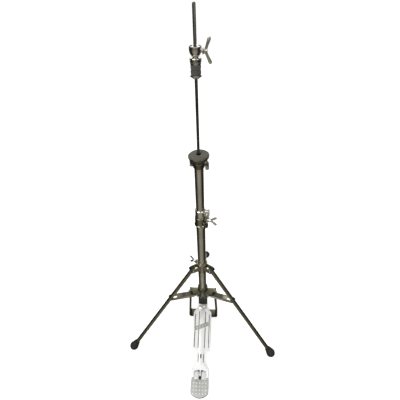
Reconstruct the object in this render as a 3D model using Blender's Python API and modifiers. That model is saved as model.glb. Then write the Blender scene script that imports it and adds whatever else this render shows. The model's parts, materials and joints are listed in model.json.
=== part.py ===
"""Hi-hat stand: tripod, telescoping tube, cymbal seat, pull rod, clutch and foot pedal.

Run in Blender 4.5. Metres, +Z up. The origin is on the floor, on the axis of the tubes,
under the plate of the pedal frame. The heel of the pedal points to -Y.
"""

import math

import bmesh
import bpy
from mathutils import Matrix, Vector

# ---------------------------------------------------------------- clearances
GAP = 0.0003            # between pieces that touch
SLIDE = 0.0004          # radial room of a sliding fit
PIN_FIT = 0.0003        # radial room of a pin in its hole
SIDE_FIT = 0.00045      # room at each side of a swinging piece
OVERSHOOT = 0.004       # how far a cutter reaches past the face it opens

# ---------------------------------------------------------------- facets
TUBE_SIDES = 24
LEG_SIDES = 16
PIN_SIDES = 12
ROUND_END_STEPS = 5

# ---------------------------------------------------------------- tubes and rods
LOWER_TUBE_R = 0.0127
TUBE_WALL = 0.0012
UPPER_TUBE_R = LOWER_TUBE_R - TUBE_WALL - SLIDE
LOWER_TUBE_TOP = 0.513
UPPER_TUBE_BOTTOM = 0.330
UPPER_TUBE_TOP = 0.697
PULL_ROD_R = 0.003
LOWER_ROD_R = 0.004
ROD_TOP = 1.001
ROD_TIP = 0.002
ROD_JOIN = 0.332
COUPLER_R = 0.006
COUPLER_HALF = 0.014

# ---------------------------------------------------------------- pedal frame
FRAME_T = 0.006
FRAME_DEPTH = 0.028
FRAME_TOP = 0.160
FRAME_TOP_HALF = 0.047
FRAME_FOOT_HALF = 0.054
FRAME_SHOULDER = FRAME_TOP - 0.025
FRAME_CORNER = 0.008
FRAME_BOLT_Z = FRAME_TOP - 0.008
BOLT_R = 0.003
BOLT_HEAD_R = 0.0055
BOLT_HEAD_T = 0.004
BOLT_LENGTH = 0.016

# ---------------------------------------------------------------- base casting
BRIDGE_TOP = FRAME_TOP - 0.001
BRIDGE_BOTTOM = BRIDGE_TOP - 0.012
BRIDGE_DEPTH = 0.026
BRIDGE_FOOT = BRIDGE_BOTTOM - 0.008
BRIDGE_FOOT_T = 0.009
HUB_R = LOWER_TUBE_R + 0.0043
HUB_TOP = BRIDGE_TOP + 0.031
SOCKET_FLOOR = BRIDGE_TOP - 0.0075
LUG_END_R = 0.007
SPRING_SEAT_T = 0.006
SPRING_R = 0.0079
SPRING_WIRE = 0.0008
SPRING_TURNS = 11
SPRING_TOP = 0.300
RIVET_R = 0.002

# ---------------------------------------------------------------- tripod
AZIMUTHS = {"left": -60.0, "right": 60.0, "rear": 180.0}
LEG_R = 0.00635
LEG_WALL = 0.0012
LEG_PIVOT = (LOWER_TUBE_R + 0.0213, 0.308)
FOOT_POINT = (0.275, 0.014)
LEG_HEAD = 0.008
BRACE_AT = 0.130
BRACE_PIVOT = (LOWER_TUBE_R + 0.0233, BRIDGE_TOP + 0.009)
BRACE_HALF_H = 0.0058
BRACE_T = 0.0016
BRACE_WEB_BACK = 0.020
BRACE_WEB_FRONT = 0.012
RIVET_HEAD_R = 0.004
RIVET_HEAD_T = 0.0018
PIVOT_PIN_R = 0.0025
COLLAR_R = LOWER_TUBE_R + 0.0033
COLLAR_BOTTOM = LEG_PIVOT[1] - 0.022
COLLAR_TOP = LEG_PIVOT[1] + 0.018
COLLAR_BEAD = 0.0012
COLLAR_EAR_T = 0.003
COLLAR_EAR_R = 0.008
FOOT_R = 0.0146
FOOT_NECK_R = 0.0095
FOOT_SLEEVE = 0.022
FOOT_RIB = 0.0011

# ---------------------------------------------------------------- height clamp and memory lock
CLAMP_R = LOWER_TUBE_R + 0.0026
CLAMP_BOTTOM = LOWER_TUBE_TOP - 0.016
CLAMP_TOP = LOWER_TUBE_TOP + 0.014
CLAMP_LIP = 0.0016
CLAMP_EAR_AZ = -53.0
CLAMP_EAR_REACH = CLAMP_R + 0.0107
CLAMP_EAR_T = 0.005
CLAMP_SLOT = 0.0024
PINCH_Z = LOWER_TUBE_TOP - 0.006
PINCH_AT = CLAMP_R + 0.0057
PINCH_R = 0.002
LOCK_R = UPPER_TUBE_R + 0.0028
LOCK_HEIGHT = 0.025
LOCK_LUG_AZ = -10.0
LOCK_LUG_REACH = LOCK_R + 0.0101
LOCK_LUG_T = 0.0048
SCREW_BOSS_R = 0.0055
BOSS_REACH = LOWER_TUBE_R + 0.0085
FLANGE_T = 0.002
BLADE_T = 0.003
WING_SHANK_R = 0.0028
WING_HUB_R = 0.0045
# a blade is (where it starts, reach, lean from the screw's axis in degrees, half width)
CLAMP_WING_HUB = 0.031
CLAMP_WING_FLANGE_R = 0.0075
CLAMP_BLADES = [(0.028, 0.019, 40.0, 0.0028), (0.028, 0.019, -40.0, 0.0028)]
COLLAR_WING_HUB = 0.032
COLLAR_WING_FLANGE_R = 0.0065
COLLAR_BLADES = [(0.029, 0.018, 42.0, 0.0028), (0.029, 0.018, -42.0, 0.0028)]
CLUTCH_WING_HUB = 0.0215
CLUTCH_WING_FLANGE_R = 0.0058
CLUTCH_BLADES = [(0.0175, 0.021, 64.0, 0.0026), (0.0175, 0.021, -70.0, 0.0026)]
CLAMP_WING_Z = LOWER_TUBE_TOP + 0.006
CLAMP_WING_AZ = -15.0
COLLAR_WING_Z = LEG_PIVOT[1] + 0.006
COLLAR_WING_AZ = 150.0

# ---------------------------------------------------------------- cymbal seat
SEAT_PIVOT = (-UPPER_TUBE_R - 0.0064, UPPER_TUBE_TOP - 0.003)
SEAT_TILT = 3.5
SEAT_CAP_R = UPPER_TUBE_R + 0.0024
SEAT_CAP_BOTTOM = UPPER_TUBE_TOP - 0.011
SEAT_CAP_TOP = UPPER_TUBE_TOP + 0.0025
SEAT_UNDERSIDE = 0.006
SEAT_AXIS_X = 0.0191
SEAT_RIM_R = 0.0244
SEAT_WALL = 0.0015
SEAT_DEPTH = 0.016
SEAT_HOLE_R = 0.007
FELT_HOLE_R = 0.0058
FELT_ABOVE = 0.003
KNUCKLE_HALF = 0.0032
KNUCKLE_R = 0.0032
SEAT_EAR_T = 0.003
SEAT_PIN_R = 0.0015
TILT_SCREW_X = UPPER_TUBE_R + 0.0079
TILT_SCREW_R = 0.0022
TILT_SCREW_TOP = UPPER_TUBE_TOP + 0.0063
TILT_LUG = (UPPER_TUBE_TOP - 0.007, UPPER_TUBE_TOP)
BUSH_R = 0.0077

# ---------------------------------------------------------------- clutch
CLUTCH_SLEEVE_R = 0.005
CLUTCH_BOTTOM = 0.884
CLUTCH_TOP = 0.938
CLUTCH_HEAD_R = 0.0113
CLUTCH_HEAD_BOTTOM = 0.921
CLUTCH_WING_Z = 0.9295
CLUTCH_NUT_Z = (0.9195, 0.9115)
WASHER_T = 0.0027
CLUTCH_FELT_T = 0.0090
NUT_R = 0.0109
WASHER_R = 0.010
CLUTCH_FELT_R = 0.0098
CLUTCH_NUT_R = 0.011

# ---------------------------------------------------------------- pedal
HINGE_Y = -0.217
HINGE_Z = 0.009
BOARD_SLOPE = 19.0
BOARD_T = 0.005
BOARD_LENGTH = 0.229
# half of the footboard's outline: half width and place along the board
BOARD_SIDE = [(0.0255, 0.0195), (0.017, 0.032), (0.0135, 0.042), (0.013, 0.064),
              (0.016, 0.068), (0.028, 0.0712), (0.030, 0.076), (0.032, 0.189),
              (0.030, 0.196), (0.0185, 0.211), (0.0165, 0.217)]
KNUCKLE_HALF_T = 0.005
HINGE_PIN_R = 0.0025
EAR_OUTER = 0.0285
EAR_INNER = 0.020
CENTRE_KNUCKLE = 0.0025
CENTRE_BACK = 0.0067
CENTRE_HALF_T = 0.0042
TONGUE_OUTER = 0.019
TONGUE_INNER = 0.0045
TONGUE_FRONT = 0.011
EAR_BACK = 0.0117
BOARD_START = 0.0128
SPINE_HALF = 0.011
SPINE_T = 0.003
SPINE_SPAN = (0.040, 0.200)
RAIL_AT = 0.0275
RAIL_HALF = 0.0012
RAIL_T = 0.0021
RAIL_SPAN = (0.077, 0.188)
STRAP_HALF = 0.016
STRAP_T = 0.0022
YOKE_PIN_Z = BRIDGE_BOTTOM - 0.016
YOKE_PIN_R = 0.0025
YOKE_TOP = BRIDGE_BOTTOM - 0.0015
YOKE_EAR_T = 0.003
YOKE_DEPTH = 0.0065
TOE_CLIP_T = 0.002
TOE_CLIP_HALF = 0.013
TOE_CLIP_SPAN = (0.204, 0.2194)
TOE_SCREW_R = 0.002
TOE_SCREW_AT = 0.2095
STRAP_FOOT = (0.2225, 0.007)
HEEL_END = -0.282
HEEL_SAGITTA = 0.014
HEEL_FRONT = -0.231
HEEL_T = 0.0105
STUD_R = 0.0025
STUD_H = 0.0018
STUD_PITCH = 0.010
STUD_FIRST_Y = -0.2415
HEEL_SCREW = (-0.012, -0.2348)
HEEL_SCREW_R = 0.002
BAR_HALF = 0.010
BAR_T = 0.003
BAR_FLOOR = 0.0004
SPADE_HALF = 0.018
SPADE_END = -0.250


# ================================================================ scene and tools
def clear_scene():
    for item in list(bpy.data.objects):
        bpy.data.objects.remove(item, do_unlink=True)


def new_collection(name):
    collection = bpy.data.collections.new(name)
    bpy.context.scene.collection.children.link(collection)
    return collection


clear_scene()
PARTS = new_collection("hi_hat_stand")
CUTTERS = new_collection("hi_hat_stand_cutters")


def add_object(name, mesh, collection=None):
    item = bpy.data.objects.new(name, mesh)
    (collection or CUTTERS).objects.link(item)
    item.hide_render = True
    item.display_type = "WIRE"
    return item


def from_bmesh(name, bm):
    mesh = bpy.data.meshes.new(name)
    bm.to_mesh(mesh)
    bm.free()
    return add_object(name, mesh)


def turned(name, profile, sides=TUBE_SIDES):
    """A turned piece about local Z. profile is (radius, height), down the outer side."""
    on_axis = profile[0][0] == 0.0
    points = [(radius, 0.0, height) for radius, height in profile]
    edges = [(i, i + 1) for i in range(len(points) - 1)]
    if not on_axis:
        edges.append((len(points) - 1, 0))
    mesh = bpy.data.meshes.new(name)
    mesh.from_pydata(points, edges, [])
    item = add_object(name, mesh)
    screw = item.modifiers.new("Turn", "SCREW")
    screw.axis = "Z"
    screw.angle = math.tau
    screw.steps = sides
    screw.render_steps = sides
    screw.use_merge_vertices = True
    screw.merge_threshold = 0.00001
    screw.use_smooth_shade = True
    return item


def cylinder(name, radius, start, end, sides=PIN_SIDES):
    """A solid cylinder about local Z from start to end."""
    bm = bmesh.new()
    centre = Matrix.Translation((0.0, 0.0, (start + end) / 2.0))
    bmesh.ops.create_cone(bm, cap_ends=True, segments=sides, radius1=radius,
                          radius2=radius, depth=abs(end - start), matrix=centre)
    return from_bmesh(name, bm)


def box(name, low, high):
    """A box between two opposite corners."""
    low, high = Vector(low), Vector(high)
    bm = bmesh.new()
    size = high - low
    matrix = Matrix.Translation((low + high) / 2.0) @ Matrix.Diagonal((*size, 1.0))
    bmesh.ops.create_cube(bm, size=1.0, matrix=matrix)
    return from_bmesh(name, bm)


def flat(name, outlines, thickness, turn=Matrix.Identity(4)):
    """A plate in local XY, centred on Z, from closed outlines; turn moves its mesh."""
    curve = bpy.data.curves.new(name, "CURVE")
    curve.dimensions = "2D"
    curve.fill_mode = "BOTH"
    curve.extrude = thickness / 2.0
    for outline in outlines:
        spline = curve.splines.new("POLY")
        spline.points.add(len(outline) - 1)
        for point, (x, y) in zip(spline.points, outline):
            point.co = (x, y, 0.0, 1.0)
        spline.use_cyclic_u = True
    source = bpy.data.objects.new(name + "_curve", curve)
    CUTTERS.objects.link(source)
    graph = bpy.context.evaluated_depsgraph_get()
    mesh = bpy.data.meshes.new_from_object(source.evaluated_get(graph))
    bpy.data.objects.remove(source)
    bm = bmesh.new()
    bm.from_mesh(mesh)
    bmesh.ops.remove_doubles(bm, verts=bm.verts, dist=0.000001)
    bmesh.ops.recalc_face_normals(bm, faces=bm.faces)
    bm.to_mesh(mesh)
    bm.free()
    mesh.transform(turn)
    mesh.name = name
    return add_object(name, mesh)


def merge(item, tool, operation):
    tool.parent = item
    modifier = item.modifiers.new(tool.name, "BOOLEAN")
    modifier.operation = operation
    modifier.solver = "EXACT"
    modifier.object = tool


def join(item, *tools):
    """Joins helper shapes, given in the item's own frame, into the item."""
    for tool in tools:
        merge(item, tool, "UNION")


def cut(item, *tools):
    """Cuts helper shapes, given in the item's own frame, from the item."""
    for tool in tools:
        merge(item, tool, "DIFFERENCE")


def look(name, color, roughness, metallic):
    material = bpy.data.materials.new(name)
    material.use_nodes = True
    shader = material.node_tree.nodes["Principled BSDF"]
    shader.inputs["Base Color"].default_value = (*color, 1.0)
    shader.inputs["Roughness"].default_value = roughness
    shader.inputs["Metallic"].default_value = metallic
    return material


def finish(item, style, location=(0, 0, 0), rotation=(0, 0, 0), parent=None):
    """Makes a shape a sub-part: its own material, its place and its parent."""
    CUTTERS.objects.unlink(item)
    PARTS.objects.link(item)
    item.hide_render = False
    item.display_type = "TEXTURED"
    color, roughness, metallic = STYLES[style]
    item.data.materials.append(look(item.name + "_" + style, color, roughness, metallic))
    if item.data.polygons:
        item.data.shade_smooth()
        item.data.set_sharp_from_angle(angle=math.radians(35.0))
    item.location = location
    item.rotation_euler = rotation
    item.parent = parent
    return item


def empty(name, location, rotation=(0, 0, 0), parent=None):
    item = bpy.data.objects.new(name, None)
    PARTS.objects.link(item)
    item.empty_display_size = 0.02
    item.location = location
    item.rotation_euler = rotation
    item.parent = parent
    return item


STYLES = {
    "chrome": ((0.62, 0.61, 0.58), 0.12, 1.0),
    "steel": ((0.33, 0.31, 0.26), 0.28, 1.0),
    "dark_steel": ((0.16, 0.15, 0.12), 0.32, 1.0),
    "alloy": ((0.82, 0.82, 0.80), 0.36, 1.0),
    "felt": ((0.16, 0.155, 0.12), 0.95, 0.0),
    "rubber": ((0.012, 0.012, 0.012), 0.62, 0.0),
    "nylon": ((0.10, 0.10, 0.095), 0.45, 0.0),
}

QUARTER = math.pi / 2.0
ALONG_X = (0.0, QUARTER, 0.0)
ALONG_Y = (-QUARTER, 0.0, 0.0)


# ================================================================ outlines
def arc(cx, cy, radius, start, end, steps=ROUND_END_STEPS):
    """Points on an arc, angles in degrees."""
    angles = [math.radians(start + (end - start) * i / steps) for i in range(steps + 1)]
    return [(cx + radius * math.cos(a), cy + radius * math.sin(a)) for a in angles]


def stadium(start, end, radius):
    """A bar outline along X with two round ends, whose centres are at start and end."""
    return arc(end, 0.0, radius, -90, 90) + arc(start, 0.0, radius, 90, 270)


def tongue(start, end, radius):
    """A bar outline along X, square at start and round about end."""
    return arc(end, 0.0, radius, -90, 90) + [(start, radius), (start, -radius)]


def filleted(points, radius, steps=4):
    """The points of an open path with its inner corners rounded, each with its normal."""
    path = [Vector(p) for p in points]
    result = []
    first = (path[1] - path[0]).normalized()
    result.append((path[0], Vector((-first.y, first.x))))
    for before, corner, after in zip(path, path[1:], path[2:]):
        way_in = (corner - before).normalized()
        way_out = (after - corner).normalized()
        turn = way_in.angle_signed(way_out)
        side = -1.0 if turn > 0.0 else 1.0
        inward = Vector((-way_in.y, way_in.x)) * side
        start = corner - way_in * radius * math.tan(abs(turn) / 2.0)
        centre = start + inward * radius
        for i in range(steps + 1):
            spoke = (-inward).copy()
            spoke.rotate(Matrix.Rotation(-turn * i / steps, 2))
            result.append((centre + spoke * radius, -spoke * side))
    last = (path[-1] - path[-2]).normalized()
    result.append((path[-1], Vector((-last.y, last.x))))
    return result


def ribbon(points, radius, width):
    """The outline of a strip of the given width along an open path."""
    path = filleted(points, radius)
    left = [tuple(p + n * width / 2.0) for p, n in path]
    right = [tuple(p - n * width / 2.0) for p, n in path]
    return left + right[::-1]


# A plate drawn in XY is stood up into the XZ plane, or into the YZ plane.
STAND_XZ = Matrix.Rotation(QUARTER, 4, "X")
STAND_YZ = Matrix.Rotation(QUARTER, 4, "Z") @ Matrix.Rotation(QUARTER, 4, "X")


def moved(x, y, z):
    return Matrix.Translation((x, y, z))


def radial(name, azimuth):
    """An empty on the tube axis whose +X points out at an azimuth from the front."""
    return empty(name, (0, 0, 0), (0, 0, math.radians(azimuth - 90.0)))


def two_headed_pin(name, radius, half, head_r, head_t):
    """A pin about local Z with a head past each end of its grip."""
    half += GAP
    top = half + head_t
    edge = head_t * 0.4
    profile = [(0.0, top), (head_r - edge, top), (head_r, top - edge), (head_r, half),
               (radius, half), (radius, -half), (head_r, -half), (head_r, edge - top),
               (head_r - edge, -top), (0.0, -top)]
    return turned(name, profile, PIN_SIDES)


def screw_with_head(name, radius, tip, head, head_r, head_t, sides=PIN_SIDES):
    """A screw about local Z from tip up to the seat of its head."""
    edge = head_t * 0.3
    profile = [(0.0, head + head_t), (head_r - edge, head + head_t),
               (head_r, head + head_t - edge), (head_r, head), (radius, head),
               (radius, tip + edge), (radius - edge * 0.5, tip), (0.0, tip)]
    return turned(name, profile, sides)


def wing(name, start, reach, lean, half_w, thickness):
    """One blade of a wing screw, leaning from the screw's axis, in local XZ."""
    blade = flat(name, [stadium(0.0, reach, half_w)], thickness)
    place = moved(0, 0, start) @ Matrix.Rotation(math.radians(lean - 90.0), 4, "Y")
    blade.data.transform(place @ STAND_XZ)
    return blade


# ================================================================ base
def build_pedal_frame():
    top_x = FRAME_TOP_HALF - FRAME_T / 2.0
    foot_x = FRAME_FOOT_HALF - FRAME_T / 2.0
    floor = FRAME_T / 2.0
    path = [(-top_x, FRAME_TOP), (-top_x, FRAME_SHOULDER), (-foot_x, floor),
            (foot_x, floor), (top_x, FRAME_SHOULDER), (top_x, FRAME_TOP)]
    frame = flat("pedal_frame", [ribbon(path, FRAME_CORNER, FRAME_T)], FRAME_DEPTH,
                 STAND_XZ)
    bolt_way = cylinder("frame_bolt_way", BOLT_R + PIN_FIT, -2 * top_x, 2 * top_x)
    bolt_way.data.transform(moved(0, 0, FRAME_BOLT_Z) @ Matrix.Rotation(QUARTER, 4, "Y"))
    rivet_way = cylinder("rivet_way", RIVET_R + PIN_FIT, FRAME_T / 3.0,
                         FRAME_T + OVERSHOOT)
    cut(frame, bolt_way, rivet_way)
    finish(frame, "dark_steel")


def build_base_casting():
    end = FRAME_TOP_HALF - FRAME_T - GAP
    knee = end - BRIDGE_FOOT_T
    slope = BRIDGE_BOTTOM - BRIDGE_FOOT
    outline = [(end, BRIDGE_FOOT), (end, BRIDGE_TOP), (-end, BRIDGE_TOP),
               (-end, BRIDGE_FOOT), (-knee, BRIDGE_FOOT), (slope - knee, BRIDGE_BOTTOM),
               (knee - slope, BRIDGE_BOTTOM), (knee, BRIDGE_FOOT)]
    casting = flat("base_casting", [outline], BRIDGE_DEPTH, STAND_XZ)
    rim = 0.002
    hub = turned("base_hub", [(0.0, HUB_TOP), (HUB_R - rim, HUB_TOP),
                              (HUB_R, HUB_TOP - rim), (HUB_R, BRIDGE_BOTTOM),
                              (0.0, BRIDGE_BOTTOM)])
    join(casting, hub)
    for side, azimuth in AZIMUTHS.items():
        lug = flat("lug_" + side, [tongue(HUB_R * 0.85, BRACE_PIVOT[0], LUG_END_R)],
                   2 * LEG_R, STAND_XZ)
        lug.data.transform(moved(0, 0, BRACE_PIVOT[1]))
        way = cylinder("lug_way_" + side, PIVOT_PIN_R + PIN_FIT, -2 * LEG_R, 2 * LEG_R)
        way.data.transform(moved(BRACE_PIVOT[0], 0, BRACE_PIVOT[1]) @ STAND_XZ)
        spin = Matrix.Rotation(math.radians(azimuth - 90.0), 4, "Z")
        lug.data.transform(spin)
        way.data.transform(spin)
        join(casting, lug)
        cut(casting, way)
    socket = cylinder("tube_socket", LOWER_TUBE_R + GAP, SOCKET_FLOOR,
                      HUB_TOP + OVERSHOOT, TUBE_SIDES)
    rod_way = cylinder("rod_way", LOWER_ROD_R + 5 * GAP, BRIDGE_FOOT, HUB_TOP)
    cut(casting, socket, rod_way)
    for side, sign in (("left", -1.0), ("right", 1.0)):
        hole = cylinder("bolt_hole_" + side, BOLT_R + PIN_FIT, end - BOLT_LENGTH,
                        end + OVERSHOOT)
        hole.data.transform(moved(0, 0, FRAME_BOLT_Z)
                            @ Matrix.Rotation(sign * QUARTER, 4, "Y"))
        cut(casting, hole)
    finish(casting, "steel")


def build_frame_bolts():
    for side, sign in (("left", -1.0), ("right", 1.0)):
        bolt = screw_with_head("frame_bolt_" + side, BOLT_R,
                               FRAME_TOP_HALF - BOLT_LENGTH, FRAME_TOP_HALF + GAP,
                               BOLT_HEAD_R, BOLT_HEAD_T, 12)
        finish(bolt, "chrome", (0, 0, FRAME_BOLT_Z), (0, sign * QUARTER, 0))


def tube(name, radius, wall, bottom, top, sides=TUBE_SIDES):
    inner = radius - wall
    return turned(name, [(radius, top), (radius, bottom), (inner, bottom), (inner, top)],
                  sides)


def build_lower_tube():
    pipe = tube("lower_tube", LOWER_TUBE_R, TUBE_WALL, SOCKET_FLOOR + GAP, LOWER_TUBE_TOP)
    finish(pipe, "chrome")


def build_return_spring():
    bottom = SOCKET_FLOOR + 2 * GAP + SPRING_SEAT_T
    seat = tube("spring_seat", LOWER_TUBE_R - TUBE_WALL - GAP, 0.006,
                bottom - SPRING_SEAT_T, bottom)
    finish(seat, "nylon")
    turns, steps = SPRING_TURNS, 8
    low, high = bottom + SPRING_WIRE + GAP, SPRING_TOP - SPRING_WIRE - GAP
    curve = bpy.data.curves.new("return_spring", "CURVE")
    curve.dimensions = "3D"
    curve.bevel_depth = SPRING_WIRE
    curve.bevel_resolution = 0
    curve.use_fill_caps = True
    spline = curve.splines.new("POLY")
    count = turns * steps
    spline.points.add(count)
    for i, point in enumerate(spline.points):
        angle = math.tau * i / steps
        height = low + (high - low) * i / count - bottom
        point.co = (SPRING_R * math.cos(angle), SPRING_R * math.sin(angle), height, 1.0)
    coil = bpy.data.objects.new("spring_curve", curve)
    CUTTERS.objects.link(coil)
    graph = bpy.context.evaluated_depsgraph_get()
    mesh = bpy.data.meshes.new_from_object(coil.evaluated_get(graph))
    bpy.data.objects.remove(coil)
    bm = bmesh.new()
    bm.from_mesh(mesh)
    bmesh.ops.remove_doubles(bm, verts=bm.verts, dist=0.000001)
    bmesh.ops.recalc_face_normals(bm, faces=bm.faces)
    spring = from_bmesh("return_spring", bm)
    finish(spring, "steel", (0, 0, bottom))


def build_radius_bar():
    high = FRAME_T + GAP + BAR_T / 2.0
    low = BAR_FLOOR + BAR_T / 2.0
    front = -FRAME_DEPTH / 2.0 - BAR_T
    path = [(0.010, high), (front, high), (front - 0.016, low), (SPADE_END, low)]
    bar = flat("radius_bar", [ribbon(path, 0.006, BAR_T)], 2 * BAR_HALF, STAND_YZ)
    spade = box("radius_bar_spade", (-SPADE_HALF, SPADE_END, BAR_FLOOR),
                (SPADE_HALF, HEEL_FRONT + 0.002, BAR_FLOOR + BAR_T))
    join(bar, spade)
    rivet_way = cylinder("bar_rivet_way", RIVET_R + PIN_FIT, 0.0, 2 * high)
    screw_way = cylinder("bar_screw_way", HEEL_SCREW_R + PIN_FIT, -low, 4 * low)
    screw_way.data.transform(moved(*HEEL_SCREW, 0.0))
    cut(bar, rivet_way, screw_way)
    finish(bar, "steel")
    rivet = screw_with_head("radius_bar_rivet", RIVET_R, FRAME_T / 3.0 + GAP,
                            FRAME_T + BAR_T + 2 * GAP, RIVET_R * 2.0, RIVET_R)
    finish(rivet, "chrome")


# ================================================================ clamp and column
def ear_pair(name, azimuth, reach, low, high, thickness, slot, inner):
    """Two ears of a split ring as one block, with the slot that parts them."""
    half = slot / 2.0 + thickness
    ears = box(name + "_ears", (inner, -half, low), (reach, half, high))
    slit = box(name + "_slit", (0.0, -slot / 2.0, low - 1.0), (2 * reach, slot / 2.0,
                                                             high + 1.0))
    spin = Matrix.Rotation(math.radians(azimuth), 4, "Z")
    ears.data.transform(spin)
    slit.data.transform(spin)
    return ears, slit


def across(azimuth, reach, height):
    """The place of a shape about Z that is to cross a pair of ears."""
    spin = Matrix.Rotation(math.radians(azimuth), 4, "Z")
    return spin @ moved(reach, 0, height) @ STAND_XZ


def build_tube_clamp():
    bore = LOWER_TUBE_R + GAP
    neck = UPPER_TUBE_R + 2 * SLIDE
    lip = CLAMP_R + CLAMP_LIP
    shelf = CLAMP_TOP - CLAMP_LIP
    edge = 0.001
    ring = turned("tube_clamp", [
        (CLAMP_R - edge, CLAMP_TOP), (CLAMP_R, CLAMP_TOP - edge),
        (CLAMP_R, CLAMP_BOTTOM + 4 * edge), (lip, CLAMP_BOTTOM + 3 * edge),
        (lip, CLAMP_BOTTOM + edge), (CLAMP_R, CLAMP_BOTTOM), (bore, CLAMP_BOTTOM),
        (bore, shelf), (neck, shelf), (neck, CLAMP_TOP)])
    ears, slit = ear_pair("clamp", CLAMP_EAR_AZ, CLAMP_EAR_REACH, CLAMP_BOTTOM + 4 * edge,
                          CLAMP_WING_Z, CLAMP_EAR_T, CLAMP_SLOT, bore + edge)
    spin = Matrix.Rotation(math.radians(CLAMP_WING_AZ), 4, "Z")
    axis = spin @ moved(0, 0, CLAMP_WING_Z) @ Matrix.Rotation(QUARTER, 4, "Y")
    boss = cylinder("clamp_boss", SCREW_BOSS_R, bore + edge, BOSS_REACH)
    boss.data.transform(axis)
    join(ring, ears, boss)
    hole = cylinder("clamp_screw_way", WING_SHANK_R + PIN_FIT, 0.0, 2 * BOSS_REACH)
    hole.data.transform(axis)
    pinch_way = cylinder("pinch_way", PINCH_R + PIN_FIT, -0.02, 0.02)
    pinch_way.data.transform(across(CLAMP_EAR_AZ, PINCH_AT, PINCH_Z))
    cut(ring, slit, hole, pinch_way)
    finish(ring, "steel")
    bush = tube("clamp_bush", LOWER_TUBE_R, LOWER_TUBE_R - UPPER_TUBE_R - SLIDE,
                LOWER_TUBE_TOP + GAP, shelf - GAP)
    finish(bush, "nylon")
    half = CLAMP_SLOT / 2.0 + CLAMP_EAR_T
    pinch = two_headed_pin("clamp_pinch_screw", PINCH_R, half, 2 * PINCH_R,
                           1.5 * PINCH_R)
    place = across(CLAMP_EAR_AZ, PINCH_AT, PINCH_Z)
    finish(pinch, "chrome", place.translation, place.to_euler())


def wing_screw(name, tip, flange_r, hub, blades):
    """A wing screw about local Z, whose heights are distances from the tube's axis.

    hub is (start, end, radius); each blade is (start, reach, lean, half width)."""
    start, end, hub_r = hub
    shank = WING_SHANK_R
    profile = [(0.0, end), (hub_r * 0.7, end), (hub_r, end - 0.001),
               (hub_r, start + FLANGE_T), (flange_r, start + FLANGE_T),
               (flange_r, start), (shank, start), (shank, tip), (0.0, tip)]
    screw = turned(name, profile, 16)
    for number, (base, reach, lean, half_w) in enumerate(blades):
        join(screw, wing(f"{name}_blade_{number}", base, reach, lean, half_w,
                         BLADE_T))
    return screw


def build_clamp_wing_screw():
    axis = empty("clamp_wing_axis", (0, 0, CLAMP_WING_Z),
                 (0, QUARTER, math.radians(CLAMP_WING_AZ)))
    screw = wing_screw("clamp_wing_screw", LOWER_TUBE_R + 2 * GAP, CLAMP_WING_FLANGE_R,
                       (BOSS_REACH + GAP, CLAMP_WING_HUB, WING_HUB_R), CLAMP_BLADES)
    finish(screw, "chrome", parent=axis)


def build_upper_tube():
    pipe = tube("upper_tube", UPPER_TUBE_R, TUBE_WALL, UPPER_TUBE_BOTTOM, UPPER_TUBE_TOP)
    finish(pipe, "chrome")


def build_memory_lock():
    bottom = CLAMP_TOP + GAP
    top = bottom + LOCK_HEIGHT
    bore = UPPER_TUBE_R + GAP
    edge = 0.0015
    ring = turned("memory_lock", [
        (LOCK_R - edge, top), (LOCK_R, top - edge), (LOCK_R, bottom + edge),
        (LOCK_R - edge, bottom), (bore, bottom), (bore, top)])
    ears, slit = ear_pair("lock", LOCK_LUG_AZ, LOCK_LUG_REACH, bottom + edge,
                          top - edge, LOCK_LUG_T, CLAMP_SLOT, bore + edge / 2.0)
    join(ring, ears)
    height = (bottom + top) / 2.0
    reach = (LOCK_R + LOCK_LUG_REACH) / 2.0
    way = cylinder("lock_way", PINCH_R + PIN_FIT, -0.02, 0.02)
    way.data.transform(across(LOCK_LUG_AZ, reach, height))
    cut(ring, slit, way)
    finish(ring, "chrome")
    half = CLAMP_SLOT / 2.0 + LOCK_LUG_T
    screw = two_headed_pin("memory_lock_screw", PINCH_R, half, 2 * PINCH_R,
                           1.5 * PINCH_R)
    place = across(LOCK_LUG_AZ, reach, height)
    finish(screw, "chrome", place.translation, place.to_euler())


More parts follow.
